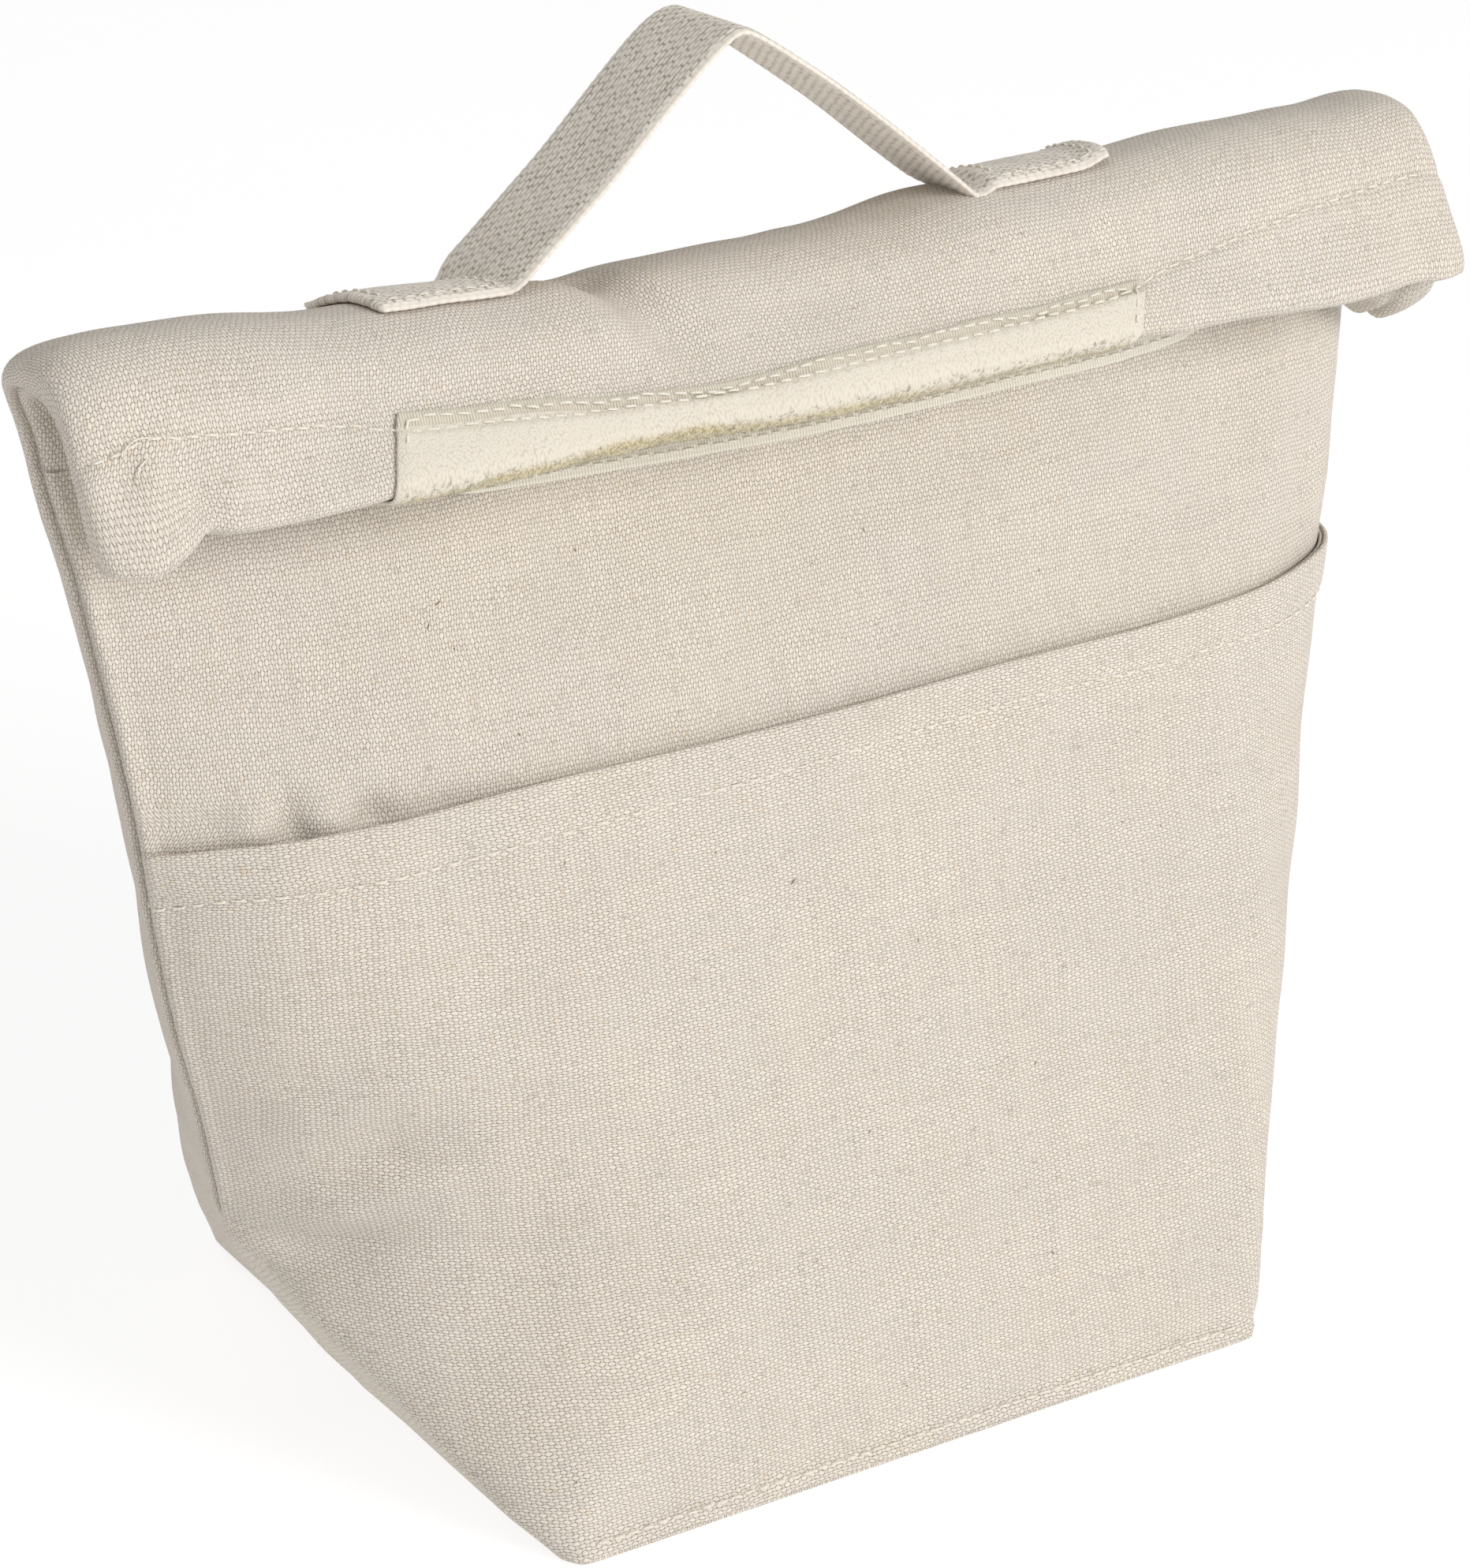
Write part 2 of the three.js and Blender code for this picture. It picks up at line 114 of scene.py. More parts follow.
# ------------------------------------------------------------------ mesh making
def make(name, verts, quads, uv, mat, tris=None, floats=None, corner_uv=None):
    """One mesh object from arrays. verts in mm, uv per vertex (or corner_uv per face corner) in mm of cloth."""
    verts = np.asarray(verts, float)
    quads = np.asarray(quads, np.int32).reshape(-1, 4)
    tris = np.zeros((0, 3), np.int32) if tris is None else np.asarray(tris, np.int32).reshape(-1, 3)
    me = bpy.data.meshes.new(name)
    me.vertices.add(len(verts))
    me.vertices.foreach_set("co", (verts * MM).astype(np.float32).ravel())
    loops = np.concatenate([quads.ravel(), tris.ravel()]).astype(np.int32)
    me.loops.add(len(loops))
    me.loops.foreach_set("vertex_index", loops)
    starts = np.concatenate([np.arange(len(quads)) * 4, len(quads) * 4 + np.arange(len(tris)) * 3]).astype(np.int32)
    me.polygons.add(len(starts))
    me.polygons.foreach_set("loop_start", starts)
    me.polygons.foreach_set("use_smooth", np.ones(len(starts), bool))
    layer = me.uv_layers.new(name="cloth")
    layer.uv.foreach_set("vector", np.asarray(np.asarray(uv)[loops] if corner_uv is None else corner_uv, np.float32).ravel())
    for key, val in (floats or {}).items():
        a = me.attributes.new(key, "FLOAT", "POINT")
        a.data.foreach_set("value", np.asarray(val, np.float32))
    me.update(calc_edges=True)
    me.validate()
    me.materials.append(mat)
    ob = bpy.data.objects.new(name, me)
    bpy.context.scene.collection.objects.link(ob)
    return ob


def normals(P, outward):
    """Unit normals of a grid of points, turned to the side outward points to (a vector or an array)."""
    n = unit(np.cross(np.gradient(P, axis=0), np.gradient(P, axis=1)))
    sign = np.sign((n * outward).sum(-1, keepdims=True))
    mid = np.median(sign)
    return n * (mid if mid else 1.0)


def rim_ids(A, B):
    return np.array([i * B for i in range(A)] + [(A - 1) * B + j for j in range(1, B)]
                    + [i * B + B - 1 for i in range(A - 2, -1, -1)] + [j for j in range(B - 2, 0, -1)])


def sheet(name, P, N, UV, thick, mat, weights=None, floats=None, steps=2):
    """A sheet with a real thickness. P is its outer face (rows, columns, 3), N its outward normals. Its edge is rounded
    in so many steps, or with 0 cut straight and shaded crisp, so that two sheets that meet there look like one cloth.
    weights is not used. floats are per-point values, or pairs for the two faces."""
    A, B = P.shape[:2]
    t = np.broadcast_to(np.asarray(thick, float), (A, B))[..., None]
    inner = P - N * t
    out, inn = P.reshape(-1, 3), inner.reshape(-1, 3)
    n = A * B
    ids = rim_ids(A, B)
    step = np.zeros_like(P)
    step[0] += unit(P[0] - P[1]); step[-1] += unit(P[-1] - P[-2])
    step[:, 0] += unit(P[:, 0] - P[:, 1]); step[:, -1] += unit(P[:, -1] - P[:, -2])
    nr = N.reshape(-1, 3)[ids]
    sd = step.reshape(-1, 3)[ids]
    sd = unit(sd - nr * (sd * nr).sum(-1, keepdims=True))
    tr = t.reshape(-1, 1)[ids]
    mid = (out[ids] + inn[ids]) / 2
    # the weave runs on round the edge
    on = np.zeros_like(UV, dtype=float)
    on[0] += unit(UV[0] - UV[1]); on[-1] += unit(UV[-1] - UV[-2])
    on[:, 0] += unit(UV[:, 0] - UV[:, 1]); on[:, -1] += unit(UV[:, -1] - UV[:, -2])
    on = unit(on.reshape(-1, 2)[ids])
    uv_rim = UV.reshape(-1, 2)[ids]
    verts, loops, uvs = [out, inn], [ids], [UV.reshape(-1, 2), UV.reshape(-1, 2)]
    at = 2 * n
    for k in range(1, steps + 1):
        a = math.pi * k / (steps + 1)
        verts.append(mid + nr * math.cos(a) * tr / 2 + sd * math.sin(a) * tr / 2)
        uvs.append(uv_rim + on * a * tr / 2)
        loops.append(at + np.arange(len(ids)))
        at += len(ids)
    loops.append(n + ids)
    g = np.arange(n).reshape(A, B)
    q = np.stack([g[:-1, :-1], g[1:, :-1], g[1:, 1:], g[:-1, 1:]], -1).reshape(-1, 4)
    quads = [q, (q + n)[:, ::-1]]
    for a, b in zip(loops[:-1], loops[1:]):
        quads.append(np.stack([np.roll(a, -1), a, b, np.roll(b, -1)], -1))
    quads = np.concatenate(quads)
    i, j = max(A // 2 - 1, 0), max(B // 2 - 1, 0)
    if np.dot(np.cross(P[i + 1, j] - P[i, j], P[i, j + 1] - P[i, j]), N[i, j]) < 0:
        quads = quads[:, ::-1]
    rows = np.concatenate([np.arange(n), np.arange(n)] + [ids] * steps)
    uv = np.concatenate(uvs)
    cut = None
    if not steps:
        cut = uv[quads]
        far = np.zeros((2 * n, 2))
        far[n + ids] = on * tr
        cut[2 * len(q):] += far[quads[2 * len(q):]]
        cut = cut.reshape(-1, 2)
    fl = {}
    for key, v in (floats or {}).items():
        a, b = (v if isinstance(v, tuple) else (v, v))
        a, b = np.asarray(a, float).reshape(-1), np.asarray(b, float).reshape(-1)
        fl[key] = np.concatenate([a, b] + [(a + b)[ids] / 2] * steps)
    ob = make(name, np.concatenate(verts), quads, uv, mat, floats=fl, corner_uv=cut)
    if not steps:
        on_rim = np.zeros(len(rows), bool)
        on_rim[ids] = on_rim[n + ids] = True
        ends = np.zeros(len(ob.data.edges) * 2, np.int32)
        ob.data.edges.foreach_get("vertices", ends)
        ends = ends.reshape(-1, 2)
        crisp = on_rim[ends].all(1) & ((ends[:, 0] < n) == (ends[:, 1] < n))
        (ob.data.attributes.get("sharp_edge") or ob.data.attributes.new("sharp_edge", "BOOLEAN", "EDGE")).data.foreach_set("value", crisp)
    return ob


def bend(ob, a, b, start, end):
    """Bakes the piece's placement into its mesh."""
    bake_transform(ob)
    return ob


def tube_mesh(paths, radius, sides=6):
    """Closed tubes along several paths, each (k, 3), with radius a number or one per point. Returns verts, quads, tris, uv, and the
    path and point each vertex came from."""
    V, Q, T, UV, src = [], [], [], [], []
    at = 0
    for pi, p in enumerate(paths):
        k = len(p)
        r = np.broadcast_to(np.asarray(radius[pi] if isinstance(radius, list) else radius, float), (k,))
        d = unit(np.gradient(p, axis=0))
        ref = np.array([0.31, 0.17, 0.93])
        s = unit(np.cross(d, ref))
        w = np.cross(d, s)
        ang = np.arange(sides) / sides * 2 * math.pi
        ring = p[:, None] + (s[:, None] * np.cos(ang)[None, :, None] + w[:, None] * np.sin(ang)[None, :, None]) * r[:, None, None]
        V.append(ring.reshape(-1, 3)); V.append(p[[0, -1]])
        ln = np.concatenate([[0], np.cumsum(np.linalg.norm(np.diff(p, axis=0), axis=1))])
        uu = np.repeat(ln[:, None], sides, 1); vv = np.repeat(np.arange(sides)[None] / sides, k, 0)
        UV.append(np.stack([uu, vv], -1).reshape(-1, 2)); UV.append(np.array([[0, 0], [ln[-1], 0]]))
        g = at + np.arange(k * sides).reshape(k, sides)
        h = np.roll(g, -1, axis=1)
        Q.append(np.stack([g[:-1], h[:-1], h[1:], g[1:]], -1).reshape(-1, 4))
        c0, c1 = at + k * sides, at + k * sides + 1
        T.append(np.stack([h[0], g[0], np.full(sides, c0)], -1)); T.append(np.stack([g[-1], h[-1], np.full(sides, c1)], -1))
        src.append(np.stack([np.full(k * sides + 2, pi), np.concatenate([np.repeat(np.arange(k), sides), [0, k - 1]])], -1))
        at += k * sides + 2
    return np.concatenate(V), np.concatenate(Q), np.concatenate(T), np.concatenate(UV), np.concatenate(src)


def stitches(name, pts, nrm, mat, pitch=4.0, share=0.8, r=0.27, lift=0.34, seed=1, stray=0.12, sides=6, weights=None, skip=()):
    """A row of sewn stitches along a line on a surface."""
    rs = np.random.RandomState(seed)
    pts, nrm = np.asarray(pts, float), unit(np.asarray(nrm, float))
    s = np.concatenate([[0], np.cumsum(np.linalg.norm(np.diff(pts, axis=0), axis=1))])
    side = unit(np.cross(np.gradient(pts, axis=0), nrm))
    count = int((s[-1] - 1) // pitch)
    paths, radii, ws = [], [], []
    for i in range(count):
        jit = rs.rand(5)
        if i in skip:
            continue
        a = i * pitch + (jit[0] - 0.5) * 0.25 * pitch * 0.5
        b = a + pitch * (share + (jit[1] - 0.5) * 0.12)
        t = np.linspace(0, 1, 7)
        d = np.clip(a + (b - a) * t, 0, s[-1])
        at = lambda arr: np.stack([np.interp(d, s, arr[:, c]) for c in range(3)], -1)
        e = np.abs(2 * t - 1)
        h = lift * (0.85 + 0.3 * jit[2]) * (1 - e**3) - 0.45 * e**5
        off = (jit[3] - 0.5) * 2 * stray + (t - 0.5) * 0.35 * (jit[4] + 0.5) * 0.5
        paths.append(at(pts) + unit(at(nrm)) * h[:, None] + unit(at(side)) * off[:, None])
        radii.append(r * (0.92 + 0.16 * jit[0]) * np.sqrt(np.clip(1.12 - 0.75 * e**4, 0.2, 1)))
        if weights is not None:
            ws.append(np.interp(d, s, weights))
    V, Q, T, UV, src = tube_mesh(paths, radii, sides)
    ob = make(name, V, Q, UV, mat, tris=T)
    return ob


def threads(name, paths, r, mat, sides=5):
    radii = [r * np.sqrt(np.clip(1.05 - np.linspace(-1, 1, len(p)) ** 8, 0.1, 1)) for p in paths]
    V, Q, T, UV, src = tube_mesh(paths, radii, sides)
    ob = make(name, V, Q, UV, mat, tris=T)
    return ob


# ------------------------------------------------------------------ materials
def srgb(r, g, b):
    f = lambda c: c / 255 / 12.92 if c / 255 <= 0.04045 else ((c / 255 + 0.055) / 1.055) ** 2.4
    return (f(r), f(g), f(b), 1.0)


class Tree:
    """A material's node tree, with short names for the nodes used here."""

    def __init__(self, name):
        self.mat = bpy.data.materials.new(name)
        self.mat.use_nodes = True
        self.nt = self.mat.node_tree
        self.nt.nodes.clear()
        self.out = self.nt.nodes.new("ShaderNodeOutputMaterial")
        self.bsdf = self.nt.nodes.new("ShaderNodeBsdfPrincipled")
        self.nt.links.new(self.bsdf.outputs[0], self.out.inputs["Surface"])

    def put(self, socket, value):
        if isinstance(value, bpy.types.NodeSocket):
            self.nt.links.new(value, socket)
        elif value is not None:
            socket.default_value = value

    def set(self, **kw):
        for k, v in kw.items():
            self.put(self.bsdf.inputs[k.replace("_", " ")], v)

    def math(self, op, a, b=None, c=None, clamp=False):
        n = self.nt.nodes.new("ShaderNodeMath")
        n.operation, n.use_clamp = op, clamp
        for i, v in enumerate((a, b, c)):
            self.put(n.inputs[i], v)
        return n.outputs[0]

    def add(self, a, b): return self.math("ADD", a, b)
    def sub(self, a, b): return self.math("SUBTRACT", a, b)
    def mul(self, a, b): return self.math("MULTIPLY", a, b)

    def ramp(self, x, lo, hi, a=0.0, b=1.0):
        n = self.nt.nodes.new("ShaderNodeMapRange")
        n.interpolation_type = "SMOOTHSTEP"
        for i, v in enumerate((x, lo, hi, a, b)):
            self.put(n.inputs[i], v)
        return n.outputs[0]

    def mixf(self, f, a, b):
        n = self.nt.nodes.new("ShaderNodeMix")
        n.data_type = "FLOAT"
        self.put(n.inputs[0], f); self.put(n.inputs[2], a); self.put(n.inputs[3], b)
        return n.outputs[0]

    def mix(self, f, a, b, kind="MIX"):
        n = self.nt.nodes.new("ShaderNodeMix")
        n.data_type, n.blend_type = "RGBA", kind
        self.put(n.inputs[0], f); self.put(n.inputs[6], a); self.put(n.inputs[7], b)
        return n.outputs[2]

    def uv(self):
        n = self.nt.nodes.new("ShaderNodeUVMap")
        n.uv_map = "cloth"
        s = self.nt.nodes.new("ShaderNodeSeparateXYZ")
        self.nt.links.new(n.outputs[0], s.inputs[0])
        return n.outputs[0], s.outputs[0], s.outputs[1]

    def vec(self, x, y, z=0.0):
        n = self.nt.nodes.new("ShaderNodeCombineXYZ")
        for i, v in enumerate((x, y, z)):
            self.put(n.inputs[i], v)
        return n.outputs[0]

    def place(self):
        return self.nt.nodes.new("ShaderNodeTexCoord").outputs["Object"]

    def attr(self, name):
        n = self.nt.nodes.new("ShaderNodeAttribute")
        n.attribute_name = name
        return n.outputs["Fac"]

    def noise(self, vec, scale, detail=2.0, rough=0.5, dims="2D"):
        n = self.nt.nodes.new("ShaderNodeTexNoise")
        n.noise_dimensions = dims
        self.put(n.inputs["Vector"], vec)
        n.inputs["Scale"].default_value, n.inputs["Detail"].default_value, n.inputs["Roughness"].default_value = scale, detail, rough
        return n.outputs[0]

    def cells(self, vec):
        n = self.nt.nodes.new("ShaderNodeTexWhiteNoise")
        n.noise_dimensions = "2D"
        self.put(n.inputs["Vector"], vec)
        return n.outputs["Value"]

    def voronoi(self, vec, scale, dims="2D"):
        n = self.nt.nodes.new("ShaderNodeTexVoronoi")
        n.voronoi_dimensions = dims
        self.put(n.inputs["Vector"], vec)
        n.inputs["Scale"].default_value = scale
        return n.outputs["Distance"]

    def bumped(self, height, distance, strength=1.0, under=None):
        n = self.nt.nodes.new("ShaderNodeBump")
        n.inputs["Strength"].default_value, n.inputs["Distance"].default_value = strength, distance
        self.put(n.inputs["Height"], height)
        if under is not None:
            self.put(n.inputs["Normal"], under)
        return n.outputs[0]


def weave(t, pu, pv, seed, wander=0.4):
    """Plain weave, with threads pu apart across and pv apart up. The threads that lie closer together lead: they swell over the
    ones they cross. Returns the cloth coordinates, height in [0, 1], tone of the thread on top, 1 where the other threads
    are on top, and the cell's number."""
    uv, u, v = t.uv()
    n1 = t.noise(t.vec(t.mul(u, 0.05), t.mul(v, 0.05), 0), 1.0, 2.0)
    n2 = t.noise(t.vec(t.add(t.mul(u, 0.05), 31.7), t.add(t.mul(v, 0.05), 11.3)), 1.0, 2.0)
    n3 = t.noise(t.vec(t.mul(u, 0.6), t.mul(v, 0.6)), 1.0, 1.0)
    n4 = t.noise(t.vec(t.add(t.mul(u, 0.6), 19.1), t.mul(v, 0.6)), 1.0, 1.0)
    du = t.add(t.mul(t.sub(n1, 0.5), wander * 6), t.mul(t.sub(n3, 0.5), 0.52))
    dv = t.add(t.mul(t.sub(n2, 0.5), wander * 6), t.mul(t.sub(n4, 0.5), 0.52))
    a = t.math("DIVIDE", t.add(t.add(u, du), 1000.0 + seed), pu)
    b = t.math("DIVIDE", t.add(t.add(v, dv), 1000.0 + seed * 1.7), pv)
    sn = lambda x: t.math("SINE", t.mul(x, math.pi))
    cs = lambda x: t.math("COSINE", t.mul(x, math.pi))
    rows_lead = pv < pu
    if rows_lead:
        b = t.add(b, t.mul(t.mul(sn(a), cs(b)), 0.17))
    else:
        a = t.add(a, t.mul(t.mul(sn(b), cs(a)), 0.17))
    ia, ib = t.math("FLOOR", a), t.math("FLOOR", b)
    fa, fb = t.math("FRACT", a), t.math("FRACT", b)
    par = t.math("FLOORED_MODULO", t.add(ia, ib), 2.0)
    # each thread is a little thicker or thinner along its length
    slub_a = t.noise(t.vec(t.mul(ia, 7.31), t.mul(v, 0.035)), 1.0, 2.0, 0.6)
    slub_b = t.noise(t.vec(t.mul(u, 0.035), t.add(t.mul(ib, 5.17), 77.0)), 1.0, 2.0, 0.6)
    ca, cb = t.sub(t.mul(fa, 2.0), 1.0), t.sub(t.mul(fb, 2.0), 1.0)
    over, along_ = (cb, ca) if rows_lead else (ca, cb)
    slub_l, slub_o = (slub_b, slub_a) if rows_lead else (slub_a, slub_b)
    round_ = t.sub(1.0, t.mul(over, over))
    lead = t.mul(round_, t.sub(1.0, t.mul(t.mul(along_, along_), 0.25)))
    q = t.math("DIVIDE", along_, 0.82)
    other = t.mul(t.math("MAXIMUM", t.sub(1.0, t.mul(q, q)), 0.0), t.add(0.58, t.mul(round_, 0.34)))
    flank = t.mul(t.mul(round_, 0.70), t.ramp(t.math("ABSOLUTE", along_), 0.5, 1.0))
    other = t.math("MAXIMUM", other, flank)
    h = t.mixf(par, t.mul(lead, t.ramp(slub_l, 0.25, 0.75, 0.92, 1.08)), t.mul(other, t.ramp(slub_o, 0.25, 0.75, 0.90, 1.10)))
    tone = t.mixf(par, slub_l, slub_o)
    cell = t.cells(t.vec(ia, ib))
    return uv, u, v, h, tone, par, cell


def canvas(name, seed, pu=0.64, pv=1.0, light=(224, 215, 203), painted_shade=(124, 113, 98), depth=0.00021):
    t = Tree(name)
    uv, u, v, h, tone, par, cell = weave(t, pu, pv, seed)
    deep = t.noise(t.vec(t.mul(u, 0.022), t.add(t.mul(v, 0.022), seed)), 1.0, 3.0, 0.55)
    fine = t.noise(t.vec(t.mul(u, 2.6), t.mul(v, 2.6)), 1.0, 2.0, 0.6)
    top = t.mix(t.ramp(tone, 0.30, 0.70), srgb(light[0] - 5, light[1] - 5, light[2] - 5), srgb(light[0] + 4, light[1] + 4, light[2] + 3))
    top = t.mix(t.mul(t.ramp(deep, 0.35, 0.65), 0.35), top, srgb(light[0] - 4, light[1] - 3, light[2] + 1))
    top = t.mix(t.mul(par, 0.17), top, srgb(light[0] - 36, light[1] - 37, light[2] - 39))
    top = t.mix(t.mul(t.ramp(cell, 0.955, 0.975), 0.30), top, srgb(172, 164, 154))
    top = t.mix(t.mul(t.ramp(cell, 0.024, 0.014), 0.30), top, srgb(214, 186, 148))
    bits = t.cells(t.vec(t.math("FLOOR", t.mul(u, 0.71)), t.math("FLOOR", t.mul(v, 1.25))))
    top = t.mix(t.mul(t.ramp(bits, 0.9955, 0.9975), 0.30), top, srgb(160, 150, 138))
    # painted shade: the hollows between the threads are darkened towards the dark tone
    gap = t.ramp(h, 0.06, 0.50)
    col = t.mix(gap, srgb(*painted_shade), top)
    col = t.mix(t.mul(t.sub(fine, 0.5), 0.20), col, srgb(120, 108, 92))
    # painted shade in the groove of a side seam, by the groove attribute
    col = t.mix(t.mul(t.attr("groove"), 0.80), col, srgb(92, 82, 68))
    t.set(Base_Color=col, Roughness=0.93, Normal=t.bumped(t.add(h, t.mul(fine, 0.30)), depth, 0.8))
    t.bsdf.inputs["Specular IOR Level"].default_value = 0.15
    t.bsdf.inputs["Sheen Weight"].default_value = 0.10
    t.bsdf.inputs["Sheen Roughness"].default_value = 0.6
    return t.mat


def webbing(name):
    """Colour of the webbing: its weave is modelled, and hollow says how deep each point of it lies. Its valleys are
    darkened as painted shade.
    """
    t = Tree(name)
    uv, u, v = t.uv()
    low = t.attr("hollow")
    strand = t.noise(t.vec(t.mul(u, 0.9), t.mul(v, 5.5)), 1.0, 2.0, 0.6)
    broad = t.noise(t.vec(t.mul(u, 0.11), t.mul(v, 0.11)), 1.0, 2.0)
    # painted shade: the weave's valleys are darkened
    col = t.mix(t.ramp(low, 0.08, 0.75), srgb(160, 150, 134), srgb(239, 231, 220))
    col = t.mix(t.mul(t.ramp(strand, 0.35, 0.7), 0.20), col, srgb(190, 180, 164))
    col = t.mix(t.mul(t.ramp(broad, 0.4, 0.62), 0.12), col, srgb(200, 192, 181))
    t.set(Base_Color=col, Roughness=0.9, Normal=t.bumped(strand, 0.00010, 0.7))
    t.bsdf.inputs["Specular IOR Level"].default_value = 0.2
    t.bsdf.inputs["Sheen Weight"].default_value = 0.12
    return t.mat


def sewing_thread(name, colour):
    t = Tree(name)
    uv, u, v = t.uv()
    twist = t.math("SINE", t.add(t.mul(u, 7.2), t.mul(v, 6.283)))
    tone = t.noise(t.vec(t.mul(u, 0.6), v), 1.0, 1.0)
    col = t.mix(t.mul(t.ramp(twist, -1.0, 0.2, 1.0, 0.0), 0.35), srgb(*colour), srgb(colour[0] - 38, colour[1] - 40, colour[2] - 44))
    col = t.mix(t.mul(tone, 0.16), col, srgb(colour[0] - 26, colour[1] - 28, colour[2] - 32))
    t.set(Base_Color=col, Roughness=0.72, Normal=t.bumped(twist, 0.00006, 0.8))
    t.bsdf.inputs["Sheen Weight"].default_value = 0.1
    return t.mat


def loop_pile(name):
    """Loop tape: a ribbed selvedge along its top edge (v from 0), then pile. Where the tape turns under, the pile is
    darkened to olive as painted shade.
    """
    t = Tree(name)
    uv, u, v = t.uv()
    edge = t.ramp(v, 2.5, 2.9, 1.0, 0.0)
    rib = t.math("SINE", t.mul(u, 6.283 / 0.62))
    row = t.math("SINE", t.mul(v, 6.283 / 0.8))
    curl = t.voronoi(t.vec(t.mul(t.add(u, v), 1.25), t.mul(t.sub(v, u), 1.25)), 1.0)
    fuzz = t.noise(t.vec(t.mul(u, 3.0), t.mul(v, 3.0)), 1.0, 3.0, 0.65)
    patch = t.noise(t.vec(t.mul(u, 0.06), t.mul(v, 0.1)), 1.0, 2.0)
    under = t.attr("low")
    h = t.mixf(edge, t.add(t.mul(t.sub(1.0, curl), 0.8), t.mul(fuzz, 0.5)), t.add(t.mul(rib, 0.45), t.mul(row, 0.12)))
    pile = t.mix(t.ramp(t.add(t.mul(curl, 0.9), t.mul(fuzz, 0.35)), 0.30, 1.05), srgb(224, 216, 202), srgb(204, 195, 179))
    pile = t.mix(t.mul(t.ramp(patch, 0.35, 0.65), 0.30), pile, srgb(221, 213, 197))
    # painted shade on the pile where the tape turns under, darker and olive
    turned_under_shade = t.mix(t.ramp(t.add(curl, t.mul(fuzz, 0.6)), 0.35, 1.0), srgb(212, 201, 170), srgb(176, 161, 120))
    pile = t.mix(under, pile, turned_under_shade)
    band = t.mix(t.ramp(rib, -0.9, 0.5), srgb(196, 187, 168), srgb(222, 214, 198))
    t.set(Base_Color=t.mix(edge, pile, band), Roughness=0.85, Normal=t.bumped(h, 0.00024, 0.8))
    t.bsdf.inputs["Sheen Weight"].default_value = 0.35
    t.bsdf.inputs["Sheen Roughness"].default_value = 0.45
    t.bsdf.inputs["Specular IOR Level"].default_value = 0.3
    return t.mat


def hook_weave(name):
    t = Tree(name)
    uv, u, v = t.uv()
    rib = t.math("SINE", t.mul(u, 6.283 / 0.7))
    row = t.math("SINE", t.mul(v, 6.283 / 0.9))
    fuzz = t.noise(t.vec(t.mul(u, 2.0), t.mul(v, 2.0)), 1.0, 2.0)
    col = t.mix(t.ramp(t.add(rib, t.mul(fuzz, 0.6)), -0.8, 0.9), srgb(222, 214, 197), srgb(245, 240, 228))
    t.set(Base_Color=col, Roughness=0.6, Normal=t.bumped(t.add(rib, t.mul(row, 0.5)), 0.00012, 0.8))
    t.bsdf.inputs["Specular IOR Level"].default_value = 0.4
    return t.mat


def foil(name):
    t = Tree(name)
    p = t.place()
    crease = t.noise(p, 90.0, 4.0, 0.6, "3D")
    cell = t.voronoi(p, 120.0, "3D")
    col = t.mix(t.ramp(crease, 0.3, 0.7), srgb(196, 199, 203), srgb(226, 228, 230))
    t.set(Base_Color=col, Roughness=t.ramp(crease, 0.3, 0.7, 0.28, 0.46), Normal=t.bumped(t.add(crease, t.mul(cell, 0.5)), 0.0012, 0.6))
    t.bsdf.inputs["Metallic"].default_value = 0.85
    return t.mat


def foam(name):
    t = Tree(name)
    p = t.place()
    pore = t.voronoi(p, 900.0, "3D")
    soft = t.noise(p, 60.0, 3.0, 0.5, "3D")
    col = t.mix(t.ramp(pore, 0.1, 0.6), srgb(214, 212, 205), srgb(241, 240, 235))
    col = t.mix(t.mul(soft, 0.2), col, srgb(226, 224, 216))
    t.set(Base_Color=col, Roughness=0.9, Normal=t.bumped(pore, 0.0003, 0.6))
    return t.mat


def husk(name):
    """Bits of cotton husk in the cloth."""
    t = Tree(name)
    n = t.noise(t.place(), 900.0, 2.0, 0.5, "3D")
    t.set(Base_Color=t.mix(n, srgb(92, 72, 46), srgb(168, 140, 100)), Roughness=0.8)
    return t.mat


def pale_floor(name):
    t = Tree(name)
    n = t.noise(t.place(), 4.0, 3.0, 0.5, "3D")
    t.set(Base_Color=t.mix(n, srgb(150, 150, 149), srgb(154, 154, 154)), Roughness=0.85)
    t.bsdf.inputs["Specular IOR Level"].default_value = 0.1
    t.bsdf.inputs["Emission Color"].default_value = (1, 1, 1, 1)
    t.bsdf.inputs["Emission Strength"].default_value = 0.78
    return t.mat


CANVAS_F = canvas("canvas_front_cloth", 3)
CANVAS_B = canvas("canvas_back_cloth", 17)
CANVAS_P = canvas("canvas_pocket_cloth", 41, pu=1.12, pv=0.6)
CANVAS_R = canvas("canvas_roll_cloth", 67)
CANVAS_I = canvas("canvas_inner_cloth", 91)
WEBBING = webbing("webbing_cotton")
THREAD = sewing_thread("thread_cream", (243, 237, 224))
LOOP = loop_pile("loop_tape_pile")
HOOK = hook_weave("hook_tape_weave")
FOIL = foil("foil_lining")
FOAM = foam("foam_sheet")
HUSK = husk("husk_fleck")

# ------------------------------------------------------------------ the bag's walls
seam_at = table(SEAM)
# across, the front's left corner by height, up to where it runs on straight
corner_at = table([(0, 89), (15, 88.6), (30, 89), (45, 91), (60, 95), (75, 99.3), (86, 102.4), (100, 107.0)])
GUSSET = 58.0               # height of the top of the folded-in triangle under each side


